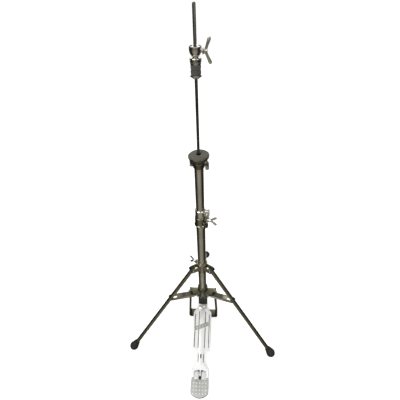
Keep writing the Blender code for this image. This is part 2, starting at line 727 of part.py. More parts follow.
# ================================================================ cymbal seat
def build_seat_base():
    shelf = UPPER_TUBE_TOP + GAP
    bore = UPPER_TUBE_R + GAP
    rim = BUSH_R + GAP
    edge = 0.001
    cap = turned("seat_base", [
        (SEAT_CAP_R - edge, SEAT_CAP_TOP), (SEAT_CAP_R, SEAT_CAP_TOP - edge),
        (SEAT_CAP_R, SEAT_CAP_BOTTOM), (bore, SEAT_CAP_BOTTOM), (bore, shelf),
        (rim, shelf), (rim, SEAT_CAP_TOP)])
    pivot_x, pivot_z = SEAT_PIVOT
    for side, sign in (("front", -1.0), ("back", 1.0)):
        middle = sign * (KNUCKLE_HALF + SLIDE + SEAT_EAR_T / 2.0)
        ear = flat("seat_ear_" + side, [tongue(-0.0085, 0.0, KNUCKLE_R + SLIDE)],
                   SEAT_EAR_T, STAND_XZ)
        ear.data.transform(moved(pivot_x, middle, pivot_z)
                           @ Matrix.Rotation(math.pi, 4, "Z"))
        join(cap, ear)
    half = 2 * TILT_SCREW_R
    lug = box("tilt_lug", (bore + edge, -half, TILT_LUG[0]),
              (TILT_SCREW_X + half, half, TILT_LUG[1]))
    join(cap, lug)
    clear = cylinder("tube_clearance", bore, SEAT_CAP_BOTTOM - OVERSHOOT, shelf,
                     TUBE_SIDES)
    screw_way = cylinder("tilt_way", TILT_SCREW_R + PIN_FIT, 0.0, SEAT_CAP_TOP)
    screw_way.data.transform(moved(TILT_SCREW_X, 0, 0.01))
    pin_way = cylinder("seat_pin_way", SEAT_PIN_R + PIN_FIT, -0.02, 0.02)
    pin_way.data.transform(moved(pivot_x, 0, pivot_z) @ STAND_XZ)
    cut(cap, clear, screw_way, pin_way)
    finish(cap, "dark_steel")
    bush = tube("rod_guide_bush", BUSH_R, BUSH_R - PULL_ROD_R - SLIDE,
                SEAT_CAP_TOP - 0.0075, SEAT_CAP_TOP)
    finish(bush, "nylon")
    half = KNUCKLE_HALF + SLIDE + SEAT_EAR_T
    pin = two_headed_pin("seat_pivot_pin", SEAT_PIN_R, half, 0.0026, 0.0012)
    finish(pin, "chrome", (pivot_x, 0, pivot_z), ALONG_Y)


def build_tilt_screw():
    top = TILT_SCREW_TOP
    knob_top = TILT_LUG[0] - 2 * GAP
    knob_bottom = knob_top - 0.010
    knob_r = 2 * TILT_SCREW_R
    profile = [(0.0, top), (TILT_SCREW_R - GAP, top), (TILT_SCREW_R, top - 2 * GAP),
               (TILT_SCREW_R, knob_top), (knob_r, knob_top - GAP), (knob_r, knob_bottom),
               (0.0, knob_bottom)]
    screw = turned("tilt_screw", [(r, z - SEAT_PIVOT[1]) for r, z in profile], PIN_SIDES)
    finish(screw, "steel", (TILT_SCREW_X, 0, SEAT_PIVOT[1]))


def build_seat():
    pivot_x, pivot_z = SEAT_PIVOT
    axis = empty("seat_axis", (pivot_x, 0, pivot_z), (0, -math.radians(SEAT_TILT), 0))
    under = SEAT_UNDERSIDE
    rim = under + SEAT_DEPTH
    inner = SEAT_RIM_R - SEAT_WALL
    floor = under + 0.004
    bowl = [(0.022, under + 0.008), (0.016, under + 0.0025), (0.011, under)]
    dish = [(SEAT_HOLE_R, floor), (0.015, floor), (0.0208, under + 0.009),
            (inner, under + 0.0125)]
    cup = turned("seat_cup", [(SEAT_RIM_R, rim), (SEAT_RIM_R, under + 0.012)] + bowl
                 + [(SEAT_HOLE_R, under)] + dish + [(inner, rim)])
    neck = under + 0.0045
    knuckle = flat("seat_knuckle", [tongue(-neck, 0.0, KNUCKLE_R)], 2 * KNUCKLE_HALF,
                   STAND_XZ)
    knuckle.data.transform(moved(-SEAT_AXIS_X, 0, 0) @ Matrix.Rotation(QUARTER, 4, "Y"))
    join(cup, knuckle)
    pin_way = cylinder("knuckle_way", SEAT_PIN_R + PIN_FIT, -0.01, 0.01)
    pin_way.data.transform(moved(-SEAT_AXIS_X, 0, 0) @ STAND_XZ)
    cut(cup, pin_way)
    finish(cup, "dark_steel", (SEAT_AXIS_X, 0, 0), parent=axis)
    top = rim + FELT_ABOVE
    felt_r = inner - GAP
    felt = turned("seat_felt", [
        (felt_r - 0.001, top), (felt_r, top - 0.001), (felt_r, under + 0.0126),
        (0.0208 - GAP, under + 0.0091 + GAP), (0.015 - GAP, floor + GAP),
        (FELT_HOLE_R, floor + GAP), (FELT_HOLE_R, top)])
    finish(felt, "felt", (SEAT_AXIS_X, 0, 0), parent=axis)


# ================================================================ pull rod
def build_pull_rod():
    tip = ROD_TOP - ROD_TIP
    upper = turned("upper_pull_rod", [(0.0, ROD_TOP), (PULL_ROD_R / 2.0, ROD_TOP),
                                      (PULL_ROD_R, tip), (PULL_ROD_R, ROD_JOIN + GAP),
                                      (0.0, ROD_JOIN + GAP)], PIN_SIDES)
    finish(upper, "chrome")
    blind = YOKE_TOP - 0.006
    lower = cylinder("lower_pull_rod", LOWER_ROD_R, blind + GAP, ROD_JOIN)
    finish(lower, "steel")
    low, high = ROD_JOIN - COUPLER_HALF, ROD_JOIN + COUPLER_HALF
    wide, narrow = LOWER_ROD_R + GAP, PULL_ROD_R + GAP
    coupler = turned("rod_coupler", [(COUPLER_R, high), (COUPLER_R, low), (wide, low),
                                     (wide, ROD_JOIN + GAP), (narrow, ROD_JOIN + GAP),
                                     (narrow, high)], PIN_SIDES)
    finish(coupler, "steel")
    cap = tube("spring_cap", LOWER_TUBE_R - TUBE_WALL - 0.001,
               LOWER_TUBE_R - TUBE_WALL - 0.001 - wide, SPRING_TOP + GAP,
               SPRING_TOP + SPRING_SEAT_T)
    finish(cap, "nylon")


def build_yoke():
    half = STRAP_HALF + 0.001
    outer = half + YOKE_EAR_T
    top = YOKE_TOP
    low = YOKE_PIN_Z - 0.0055
    yoke = box("rod_yoke", (-outer, -YOKE_DEPTH, low), (outer, YOKE_DEPTH, top))
    gap = box("yoke_gap", (-half, -0.02, low - OVERSHOOT), (half, 0.02, top - 0.008))
    rod_way = cylinder("yoke_rod_way", LOWER_ROD_R + GAP, top - 0.006, top + OVERSHOOT)
    pin_way = cylinder("yoke_pin_way", YOKE_PIN_R + PIN_FIT, -0.03, 0.03)
    pin_way.data.transform(moved(0, 0, YOKE_PIN_Z) @ Matrix.Rotation(QUARTER, 4, "Y"))
    cut(yoke, gap, rod_way, pin_way)
    finish(yoke, "steel")
    pin = two_headed_pin("yoke_pin", YOKE_PIN_R, outer, 0.004, 0.0015)
    finish(pin, "chrome", (0, 0, YOKE_PIN_Z), ALONG_X)


def build_drive_strap():
    foot_y, foot_z = board_point(*STRAP_FOOT)
    drop = Vector((foot_y, foot_z - YOKE_PIN_Z))
    swing = math.asin(drop.x / drop.length)
    eye = YOKE_PIN_R + PIN_FIT
    eye_r = eye + STRAP_T
    half = STRAP_T / 2.0
    rise = math.degrees(math.asin(half / eye_r))
    outline = [(half, -drop.length), *arc(0, 0, eye_r, -90 + rise, 270 - rise, 16),
               (-half, -drop.length)]
    strap = flat("drive_strap", [outline, arc(0, 0, eye, 0, 337.5, 15)],
                 2 * STRAP_HALF, STAND_YZ)
    finish(strap, "rubber", (0, 0, YOKE_PIN_Z), (swing, 0, 0))


# ================================================================ clutch
def build_clutch():
    bore = PULL_ROD_R + GAP
    head_low = CLUTCH_HEAD_BOTTOM
    shoulder = CLUTCH_WING_Z + 0.0005
    body = turned("clutch_body", [
        (CLUTCH_HEAD_R - 0.0012, CLUTCH_TOP), (CLUTCH_HEAD_R, CLUTCH_TOP - 0.0012),
        (CLUTCH_HEAD_R, shoulder), (CLUTCH_HEAD_R - 0.002, head_low + 0.004),
        (CLUTCH_SLEEVE_R + 0.001, head_low), (CLUTCH_SLEEVE_R, head_low),
        (CLUTCH_SLEEVE_R, CLUTCH_BOTTOM), (bore, CLUTCH_BOTTOM), (bore, CLUTCH_TOP)], 24)
    hole = cylinder("clutch_screw_way", WING_SHANK_R + PIN_FIT, 0.0, 2 * CLUTCH_HEAD_R)
    hole.data.transform(moved(0, 0, CLUTCH_WING_Z) @ Matrix.Rotation(QUARTER, 4, "Y"))
    cut(body, hole)
    finish(body, "chrome")
    axis = empty("clutch_wing_axis", (0, 0, CLUTCH_WING_Z), ALONG_X)
    screw = wing_screw("clutch_wing_screw", PULL_ROD_R + 2 * GAP, CLUTCH_WING_FLANGE_R,
                       (CLUTCH_HEAD_R + 4 * GAP, CLUTCH_WING_HUB, WING_HUB_R),
                       CLUTCH_BLADES)
    finish(screw, "chrome", parent=axis)
    bore = CLUTCH_SLEEVE_R + GAP
    edge = 0.0015
    top, bottom = CLUTCH_NUT_Z
    nut = turned("clutch_lock_nut", [
        (NUT_R - edge, top), (NUT_R, top - edge), (NUT_R, bottom + edge),
        (NUT_R - edge, bottom), (bore, bottom), (bore, top)], 20)
    finish(nut, "chrome")
    washer_low = bottom - GAP - WASHER_T
    washer = tube("clutch_washer", WASHER_R, WASHER_R - bore, washer_low, bottom - GAP, 24)
    finish(washer, "steel")
    high = washer_low - GAP
    for name in ("clutch_felt_upper", "clutch_felt_lower"):
        low = high - CLUTCH_FELT_T
        felt = turned(name, [(CLUTCH_FELT_R - edge, high), (CLUTCH_FELT_R, high - edge),
                             (CLUTCH_FELT_R, low + edge), (CLUTCH_FELT_R - edge, low),
                             (bore, low), (bore, high)], 24)
        finish(felt, "felt")
        high = low - GAP
    end = CLUTCH_BOTTOM - 0.0015
    rod_bore = PULL_ROD_R + SLIDE
    lower_nut = turned("clutch_bottom_nut", [
        (CLUTCH_NUT_R, high), (CLUTCH_NUT_R, high - 0.003), (CLUTCH_SLEEVE_R, end),
        (rod_bore, end), (rod_bore, CLUTCH_BOTTOM - GAP), (bore, CLUTCH_BOTTOM - GAP),
        (bore, high)], 24)
    finish(lower_nut, "chrome")


# ================================================================ tripod
def build_leg_collar():
    bore = LOWER_TUBE_R + GAP
    bead = COLLAR_R + COLLAR_BEAD
    edge = 0.001
    collar = turned("leg_collar", [
        (bead - edge, COLLAR_TOP), (bead, COLLAR_TOP - edge),
        (bead, COLLAR_TOP - 3 * edge), (COLLAR_R, COLLAR_TOP - 4 * edge),
        (COLLAR_R, COLLAR_BOTTOM), (bore, COLLAR_BOTTOM), (bore, COLLAR_TOP)])
    pivot_r, pivot_z = LEG_PIVOT
    middle = LEG_R + SIDE_FIT + COLLAR_EAR_T / 2.0
    for side, azimuth in AZIMUTHS.items():
        spin = Matrix.Rotation(math.radians(azimuth - 90.0), 4, "Z")
        for mark, sign in (("a", -1.0), ("b", 1.0)):
            ear = flat(f"ear_{side}_{mark}",
                       [tongue(bore - edge, pivot_r, COLLAR_EAR_R)], COLLAR_EAR_T,
                       STAND_XZ)
            ear.data.transform(spin @ moved(0, sign * middle, pivot_z))
            join(collar, ear)
        way = cylinder("ear_way_" + side, PIVOT_PIN_R + PIN_FIT, -0.02, 0.02)
        way.data.transform(spin @ moved(pivot_r, 0, pivot_z) @ STAND_XZ)
        cut(collar, way)
    spin = Matrix.Rotation(math.radians(COLLAR_WING_AZ), 4, "Z")
    axis = spin @ moved(0, 0, COLLAR_WING_Z) @ Matrix.Rotation(QUARTER, 4, "Y")
    boss = cylinder("collar_boss", SCREW_BOSS_R, bore + edge, BOSS_REACH)
    boss.data.transform(axis)
    join(collar, boss)
    clear = cylinder("collar_bore", bore, COLLAR_BOTTOM - OVERSHOOT,
                     COLLAR_TOP + OVERSHOOT, TUBE_SIDES)
    hole = cylinder("collar_screw_way", WING_SHANK_R + PIN_FIT, 0.0, 2 * BOSS_REACH)
    hole.data.transform(axis)
    cut(collar, clear, hole)
    finish(collar, "steel")
    seat = empty("collar_wing_axis", (0, 0, COLLAR_WING_Z),
                 (0, QUARTER, math.radians(COLLAR_WING_AZ)))
    screw = wing_screw("collar_wing_screw", LOWER_TUBE_R + 2 * GAP, COLLAR_WING_FLANGE_R,
                       (BOSS_REACH + GAP, COLLAR_WING_HUB, WING_HUB_R), COLLAR_BLADES)
    finish(screw, "chrome", parent=seat)


def leg_geometry():
    """The leg's length and its dip below the horizontal."""
    run = FOOT_POINT[0] - LEG_PIVOT[0]
    fall = LEG_PIVOT[1] - FOOT_POINT[1]
    return math.hypot(run, fall), math.atan2(fall, run)


def brace_geometry():
    """The brace's length between pivots and its dip below the horizontal."""
    length, dip = leg_geometry()
    run = LEG_PIVOT[0] + BRACE_AT * math.cos(dip) - BRACE_PIVOT[0]
    fall = BRACE_PIVOT[1] - LEG_PIVOT[1] + BRACE_AT * math.sin(dip)
    return math.hypot(run, fall), math.atan2(fall, run)


def build_leg(side, frame):
    length, dip = leg_geometry()
    pivot_r, pivot_z = LEG_PIVOT
    axis = empty("leg_axis_" + side, (pivot_r, 0, pivot_z), (0, QUARTER + dip, 0), frame)
    inner = LEG_R - LEG_WALL
    end = length - LEG_WALL
    leg = turned("leg_" + side, [(LEG_R, end), (LEG_R, -LEG_HEAD), (inner, -LEG_HEAD),
                                 (inner, end)], LEG_SIDES)
    pin_way = cylinder("leg_way_" + side, PIVOT_PIN_R + PIN_FIT, -0.02, 0.02)
    pin_way.data.transform(STAND_XZ)
    rivet_way = cylinder("leg_rivet_way_" + side, PIVOT_PIN_R, -0.02, 0.02)
    rivet_way.data.transform(moved(0, 0, BRACE_AT) @ STAND_XZ)
    cut(leg, pin_way, rivet_way)
    finish(leg, "steel", parent=axis)
    half = LEG_R + SIDE_FIT + COLLAR_EAR_T
    pin = two_headed_pin("leg_pivot_pin_" + side, PIVOT_PIN_R, half, 0.0042, 0.0018)
    finish(pin, "steel", (pivot_r, 0, pivot_z), ALONG_Y, frame)
    bore = LEG_R + GAP
    start = length - FOOT_SLEEVE
    ridge = [(FOOT_NECK_R + (FOOT_R - FOOT_NECK_R) * share
              - (FOOT_RIB if step % 2 else 0.0), start + FOOT_SLEEVE * share * 0.95)
             for step, share in enumerate((0.0, 0.2, 0.3, 0.45, 0.55, 0.72, 0.8))]
    dome = [(FOOT_R * math.cos(a), length + FOOT_R * math.sin(a))
            for a in (math.radians(d) for d in (90, 67, 45, 22, 0))]
    foot = turned("foot_" + side, [(0.0, dome[0][1])] + dome[1:] + ridge[::-1]
                  + [(bore, start), (bore, end + GAP), (0.0, end + GAP)], LEG_SIDES)
    finish(foot, "rubber", parent=axis)
    floor = box("floor_under_" + side, (-1, -1, -1), (1, 1, 0))
    floor_cut = foot.modifiers.new("Flat sole", "BOOLEAN")
    floor_cut.operation = "DIFFERENCE"
    floor_cut.solver = "EXACT"
    floor_cut.object = floor


def build_brace(side, frame):
    length, dip = brace_geometry()
    pivot_r, pivot_z = BRACE_PIVOT
    axis = empty("brace_axis_" + side, (pivot_r, 0, pivot_z), (0, dip, 0), frame)
    inner = LEG_R + SIDE_FIT
    outer = inner + BRACE_T
    middle = inner + BRACE_T / 2.0
    cheek = stadium(0.0, length, BRACE_HALF_H)
    brace = flat("brace_" + side, [cheek], BRACE_T, moved(0, middle, 0) @ STAND_XZ)
    other = flat("brace_cheek_" + side, [cheek], BRACE_T,
                 moved(0, -middle, 0) @ STAND_XZ)
    web_low = BRACE_HALF_H - BRACE_T - GAP
    web = box("brace_web_" + side, (BRACE_WEB_FRONT, -middle, web_low),
              (length - BRACE_WEB_BACK, middle, web_low + BRACE_T))
    join(brace, web, other)
    pin_way = cylinder("brace_way_" + side, PIVOT_PIN_R + PIN_FIT, -0.02, 0.02)
    pin_way.data.transform(STAND_XZ)
    for mark, sign in (("a", 1.0), ("b", -1.0)):
        head = turned(f"rivet_head_{side}_{mark}", [
            (0.0, outer + RIVET_HEAD_T), (RIVET_HEAD_R * 0.6, outer + RIVET_HEAD_T),
            (RIVET_HEAD_R, outer + RIVET_HEAD_T * 0.4), (RIVET_HEAD_R, outer - BRACE_T / 2),
            (0.0, outer - BRACE_T / 2)], PIN_SIDES)
        head.location = (length, 0, 0)
        head.rotation_euler = (sign * QUARTER, 0, 0)
        join(brace, head)
    cut(brace, pin_way)
    finish(brace, "steel", parent=axis)
    pin = two_headed_pin("brace_pin_" + side, PIVOT_PIN_R, outer, 0.004, 0.0016)
    finish(pin, "steel", (pivot_r, 0, pivot_z), ALONG_Y, frame)


def build_tripod():
    for side, azimuth in AZIMUTHS.items():
        frame = radial("tripod_" + side, azimuth)
        build_leg(side, frame)
        build_brace(side, frame)


# ================================================================ pedal
def board_point(along, above):
    """World Y and Z of a point given along the footboard and above its hinge line."""
    slope = math.radians(BOARD_SLOPE)
    return (HINGE_Y + along * math.cos(slope) - above * math.sin(slope),
            HINGE_Z + along * math.sin(slope) + above * math.cos(slope))


def build_footboard():
    half = [(EAR_OUTER, BOARD_START), *BOARD_SIDE, (BOARD_SIDE[-1][0], BOARD_LENGTH)]
    outline = half + [(-x, y) for x, y in reversed(half)]
    board = flat("footboard", [outline], BOARD_T)
    board.data.transform(moved(0, 0, BOARD_T / 2.0))
    thick = KNUCKLE_HALF_T
    inset = thick - GAP
    bar = box("hinge_bar", (GAP - EAR_OUTER, BOARD_START + GAP, -inset),
              (EAR_OUTER - GAP, BOARD_START + 0.006, inset))
    join(board, bar)
    edge = EAR_OUTER - GAP / 2.0
    thick -= GAP / 2.0
    embed = BOARD_START + 0.003
    ears = (("ear_left", -edge, -EAR_INNER, EAR_BACK, thick),
            ("ear_right", EAR_INNER, edge, EAR_BACK, thick),
            ("ear_centre", -CENTRE_KNUCKLE, CENTRE_KNUCKLE, CENTRE_BACK, CENTRE_HALF_T))
    for name, low, high, back, radius in ears:
        ear = flat(name, [tongue(-embed, back - radius, radius)], high - low)
        ear.data.transform(moved((low + high) / 2.0, 0, 0)
                           @ Matrix.Rotation(math.pi, 4, "Z") @ STAND_YZ)
        join(board, ear)
    root = BOARD_T - 0.001
    spine = box("spine", (-SPINE_HALF, SPINE_SPAN[0], root),
                (SPINE_HALF, SPINE_SPAN[1], BOARD_T + SPINE_T))
    join(board, spine)
    for name, sign in (("rail_left", -1.0), ("rail_right", 1.0)):
        rail = box(name, (sign * RAIL_AT - RAIL_HALF, RAIL_SPAN[0], root),
                   (sign * RAIL_AT + RAIL_HALF, RAIL_SPAN[1], BOARD_T + RAIL_T))
        join(board, rail)
    lip = box("toe_lip", (-STRAP_HALF, BOARD_LENGTH - SPINE_T, root),
              (STRAP_HALF, BOARD_LENGTH, BOARD_T + SPINE_T))
    join(board, lip)
    pin_way = cylinder("board_pin_way", HINGE_PIN_R + PIN_FIT, -0.04, 0.04)
    pin_way.data.transform(Matrix.Rotation(QUARTER, 4, "Y"))
    screw_way = cylinder("clip_screw_way", TOE_SCREW_R + PIN_FIT, -0.01, 0.02)
    screw_way.data.transform(moved(0, TOE_SCREW_AT, 0))
    cut(board, pin_way, screw_way)
    axis = empty("pedal_axis", (0, HINGE_Y, HINGE_Z), (math.radians(BOARD_SLOPE), 0, 0))
    finish(board, "alloy", parent=axis)
    build_toe_clip(axis)


def build_toe_clip(axis):
    low = BOARD_T + GAP
    wide = TOE_CLIP_HALF
    start, end = TOE_CLIP_SPAN
    clip = box("toe_clip", (-wide, start, low), (wide, end, low + TOE_CLIP_T))
    lip = box("toe_clip_lip", (-wide, end - TOE_CLIP_T, low),
              (wide, end, low + 4 * TOE_CLIP_T))
    join(clip, lip)
    way = cylinder("toe_clip_way", TOE_SCREW_R + PIN_FIT, 0.0, 0.02)
    way.data.transform(moved(0, TOE_SCREW_AT, 0))
    cut(clip, way)
    finish(clip, "chrome", parent=axis)
    screw = screw_with_head("toe_clip_screw", TOE_SCREW_R, 0.001, low + TOE_CLIP_T + GAP,
                            0.0038, 0.002)
    finish(screw, "chrome", (0, TOE_SCREW_AT, 0), parent=axis)


def build_heel_plate():
    bow_y = HEEL_END + HEEL_SAGITTA
    bow_r = (EAR_OUTER ** 2 + HEEL_SAGITTA ** 2) / (2 * HEEL_SAGITTA)
    spread = math.degrees(math.asin(min(1.0, EAR_OUTER / bow_r)))
    outline = [(EAR_OUTER, HEEL_FRONT), (-EAR_OUTER, HEEL_FRONT)] + arc(
        0.0, HEEL_END + bow_r, bow_r, 270 - spread, 270 + spread, 16)
    plate = flat("heel_plate", [outline], HEEL_T)
    plate.data.transform(moved(0, 0, HEEL_T / 2.0))
    thick = KNUCKLE_HALF_T
    for name, sign in (("tongue_left", -1.0), ("tongue_right", 1.0)):
        middle = sign * (TONGUE_OUTER + TONGUE_INNER) / 2.0
        knuckle = flat(name, [tongue(HEEL_FRONT - HINGE_Y - 0.0008, TONGUE_FRONT - thick,
                                     thick)], TONGUE_OUTER - TONGUE_INNER)
        knuckle.data.transform(moved(middle, HINGE_Y, HINGE_Z) @ STAND_YZ)
        join(plate, knuckle)
    row_y = STUD_FIRST_Y
    while row_y - STUD_R > HEEL_END + STUD_PITCH / 2.0:
        for column in range(-2, 3):
            stud = cylinder("stud", STUD_R, HEEL_T - STUD_H, HEEL_T + STUD_H, 6)
            stud.data.transform(moved(column * STUD_PITCH, row_y, 0))
            join(plate, stud)
        row_y -= STUD_PITCH
    recess = box("bar_recess", (-SPADE_HALF - GAP, SPADE_END - GAP, -OVERSHOOT),
                 (SPADE_HALF + GAP, HINGE_Y + 0.02, BAR_FLOOR + BAR_T + GAP))
    pin_way = cylinder("heel_pin_way", HINGE_PIN_R + PIN_FIT, -0.04, 0.04)
    pin_way.data.transform(moved(0, HINGE_Y, HINGE_Z) @ Matrix.Rotation(QUARTER, 4, "Y"))
    screw_way = cylinder("heel_screw_way", HEEL_SCREW_R + PIN_FIT, 0.0, 2 * HEEL_T)
    screw_way.data.transform(moved(*HEEL_SCREW, 0))
    cut(plate, recess, pin_way, screw_way)
    finish(plate, "alloy")
    screw = screw_with_head("heel_screw", HEEL_SCREW_R, BAR_FLOOR + GAP, HEEL_T + GAP,
                            0.0028, 0.0012)
    finish(screw, "steel", (*HEEL_SCREW, 0))
    pin = cylinder("hinge_pin", HINGE_PIN_R, -EAR_OUTER - GAP, EAR_OUTER + GAP)
    finish(pin, "steel", (0, HINGE_Y, HINGE_Z), ALONG_X)


def main():
    build_pedal_frame()
    build_base_casting()
    build_frame_bolts()
    build_lower_tube()
    build_return_spring()
    build_radius_bar()
    build_tube_clamp()
    build_clamp_wing_screw()
    build_upper_tube()
    build_memory_lock()
    build_seat_base()
    build_tilt_screw()
    build_seat()
    build_pull_rod()
    build_yoke()
    build_drive_strap()
    build_clutch()
    build_leg_collar()
    build_tripod()
    build_footboard()
    build_heel_plate()


main()
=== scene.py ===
# %% [markdown]
# # A hi-hat stand, piece by piece
# The stand is an assembly of about sixty pieces, and each of them already has a plain
# solid that says where it is and how it moves. This lesson models the visible surface of
# each piece on top of that frame: round pieces are grown ring by ring from a circle,
# plates are outlines that are extruded, and castings are joined from a few such shapes.

# %% Load the frame
import json
import math

import bpy
from mathutils import Matrix, Vector


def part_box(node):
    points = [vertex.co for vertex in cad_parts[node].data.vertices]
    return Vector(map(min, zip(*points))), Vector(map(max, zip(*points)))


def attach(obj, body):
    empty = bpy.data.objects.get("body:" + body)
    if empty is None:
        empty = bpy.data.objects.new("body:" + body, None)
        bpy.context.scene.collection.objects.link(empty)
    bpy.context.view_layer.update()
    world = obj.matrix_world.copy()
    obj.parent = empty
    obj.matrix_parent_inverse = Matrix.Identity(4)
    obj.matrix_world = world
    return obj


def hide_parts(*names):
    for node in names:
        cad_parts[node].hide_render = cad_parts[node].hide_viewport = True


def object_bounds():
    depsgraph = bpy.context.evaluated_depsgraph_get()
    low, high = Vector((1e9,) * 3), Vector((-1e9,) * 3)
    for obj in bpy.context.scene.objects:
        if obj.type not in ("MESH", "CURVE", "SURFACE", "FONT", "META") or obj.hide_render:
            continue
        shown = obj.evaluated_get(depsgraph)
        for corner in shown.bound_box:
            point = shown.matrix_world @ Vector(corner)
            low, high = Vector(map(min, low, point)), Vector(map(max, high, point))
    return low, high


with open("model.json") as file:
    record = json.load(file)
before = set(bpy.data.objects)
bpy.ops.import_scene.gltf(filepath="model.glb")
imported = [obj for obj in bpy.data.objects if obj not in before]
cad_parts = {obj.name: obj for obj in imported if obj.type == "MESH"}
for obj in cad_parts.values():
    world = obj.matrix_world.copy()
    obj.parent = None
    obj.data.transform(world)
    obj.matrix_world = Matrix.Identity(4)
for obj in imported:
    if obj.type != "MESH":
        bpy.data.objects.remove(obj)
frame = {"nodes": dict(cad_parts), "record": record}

QUARTER = math.pi / 2.0
CAD_BOX = [list(corner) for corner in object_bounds()]
print("solid model:", [round(v, 3) for v in CAD_BOX[0]], [round(v, 3) for v in CAD_BOX[1]])

# %% [markdown]
# ## Camera, floor and light
# The stand is seen from close above with a wide lens, so the rod at the top is almost
# level with the eye and the pedal is seen from above. A camera could be aimed with a
# Track To constraint, but a small roll is easier to keep as three angles in a matrix.

# %% Camera
VIEW_PLACE = Vector((0.0437, -0.5458, 1.0599))
VIEW_YAW, VIEW_DIP, VIEW_ROLL = -0.0796, 0.7157, 0.0314
FOCAL_SHARE = 285.0 / 400.0
SENSOR = 36.0


def add_camera():
    ahead = Vector((math.sin(VIEW_YAW) * math.cos(VIEW_DIP),
                    math.cos(VIEW_YAW) * math.cos(VIEW_DIP), -math.sin(VIEW_DIP)))
    level = Vector((math.cos(VIEW_YAW), -math.sin(VIEW_YAW), 0.0))
    down = ahead.cross(level)
    right = level * math.cos(VIEW_ROLL) + down * math.sin(VIEW_ROLL)
    below = down * math.cos(VIEW_ROLL) - level * math.sin(VIEW_ROLL)
    bpy.ops.object.camera_add()
    camera = bpy.context.object
    camera.name = "studio_camera"
    turn = Matrix((right, -below, -ahead)).transposed().to_4x4()
    camera.matrix_world = Matrix.Translation(VIEW_PLACE) @ turn
    camera.data.sensor_width = SENSOR
    camera.data.lens = SENSOR * FOCAL_SHARE
    camera.data.clip_start = 0.01
    bpy.context.scene.camera = camera
    bpy.context.scene.view_settings.view_transform = "Standard"


add_camera()

# %% [markdown]
# Polished metal only looks like metal when it has something to reflect. A real studio
# hangs black cards beside a white sweep. Here the sky does the same: it is white to the
# camera, and to reflections it is white with soft dark bands at the sides and a dim
# ground, so every tube gets a bright streak between darker edges.

# %% Sky and lamps
def add_sky():
    world = bpy.data.worlds.new("studio_sky")
    bpy.context.scene.world = world
    world.use_nodes = True
    nodes, links = world.node_tree.nodes, world.node_tree.links
    nodes.clear()
    out = nodes.new("ShaderNodeOutputWorld")
    spot = nodes.new("ShaderNodeTexCoord")
    parts = nodes.new("ShaderNodeSeparateXYZ")
    links.new(spot.outputs["Generated"], parts.inputs[0])
    side = nodes.new("ShaderNodeMath")
    side.operation = "ABSOLUTE"
    links.new(parts.outputs["X"], side.inputs[0])
    ramp = nodes.new("ShaderNodeValToRGB")
    stops = ramp.color_ramp.elements
    stops[0].position, stops[0].color = 0.0, (0.95, 0.95, 0.95, 1)
    stops[1].position, stops[1].color = 1.0, (0.16, 0.16, 0.15, 1)
    for place, shade in ((0.42, 0.95), (0.60, 0.30), (0.80, 0.10)):
        stop = stops.new(place)
        stop.color = (shade, shade, shade, 1)
    links.new(side.outputs[0], ramp.inputs[0])
    studio = nodes.new("ShaderNodeBackground")
    studio.inputs["Strength"].default_value = 0.62
    links.new(ramp.outputs[0], studio.inputs["Color"])
    paper = nodes.new("ShaderNodeBackground")
    paper.inputs["Color"].default_value = (1, 1, 1, 1)
    paper.inputs["Strength"].default_value = 1.0
    path = nodes.new("ShaderNodeLightPath")
    mix = nodes.new("ShaderNodeMixShader")
    links.new(path.outputs["Is Camera Ray"], mix.inputs[0])
    links.new(studio.outputs[0], mix.inputs[1])
    links.new(paper.outputs[0], mix.inputs[2])
    links.new(mix.outputs[0], out.inputs[0])


def add_lamp(name, place, aim, size, power):
    bpy.ops.object.light_add(type="AREA", location=place)
    lamp = bpy.context.object
    lamp.name = name
    lamp.data.size = size
    lamp.data.energy = power
    lamp.rotation_euler = (Vector(aim) - Vector(place)).to_track_quat("-Z", "Y").to_euler()


add_sky()
add_lamp("key_lamp", (-1.3, -1.5, 2.6), (0.0, 0.0, 0.4), 1.6, 34.0)
add_lamp("fill_lamp", (1.5, -1.2, 2.0), (0.0, 0.0, 0.5), 1.8, 12.0)
add_lamp("back_lamp", (-0.4, 2.2, 2.4), (0.0, 0.0, 0.4), 2.0, 14.0)

# %% [markdown]
# ## Shader arithmetic
# A finish is a little sum: a base value plus some noise, held in bounds. Wiring Math
# nodes by hand hides the sum, so a small class wraps a socket, and writing a + b on
# two of them adds the node. Everything else goes through one method.


# %% Shader arithmetic
class Wire:
    """A number on a socket of a material; sums with it add Math nodes."""

    def __init__(self, finish, socket):
        self.finish, self.socket = finish, socket

    def math(self, operation, other=None, swap=False):
        pair = [self, other] if not swap else [other, self]
        values = {i: v for i, v in enumerate(pair) if v is not None}
        return self.finish.node("ShaderNodeMath", {"operation": operation}, values)[0]

    def __add__(self, other):
        return self.math("ADD", other)

    def __mul__(self, other):
        return self.math("MULTIPLY", other)

    def __sub__(self, other):
        return self.math("SUBTRACT", other)

    def __rsub__(self, other):
        return self.math("SUBTRACT", other, swap=True)

    __radd__ = __add__
    __rmul__ = __mul__

    def bounded(self, low, high):
        return self.math("MAXIMUM", low).math("MINIMUM", high)


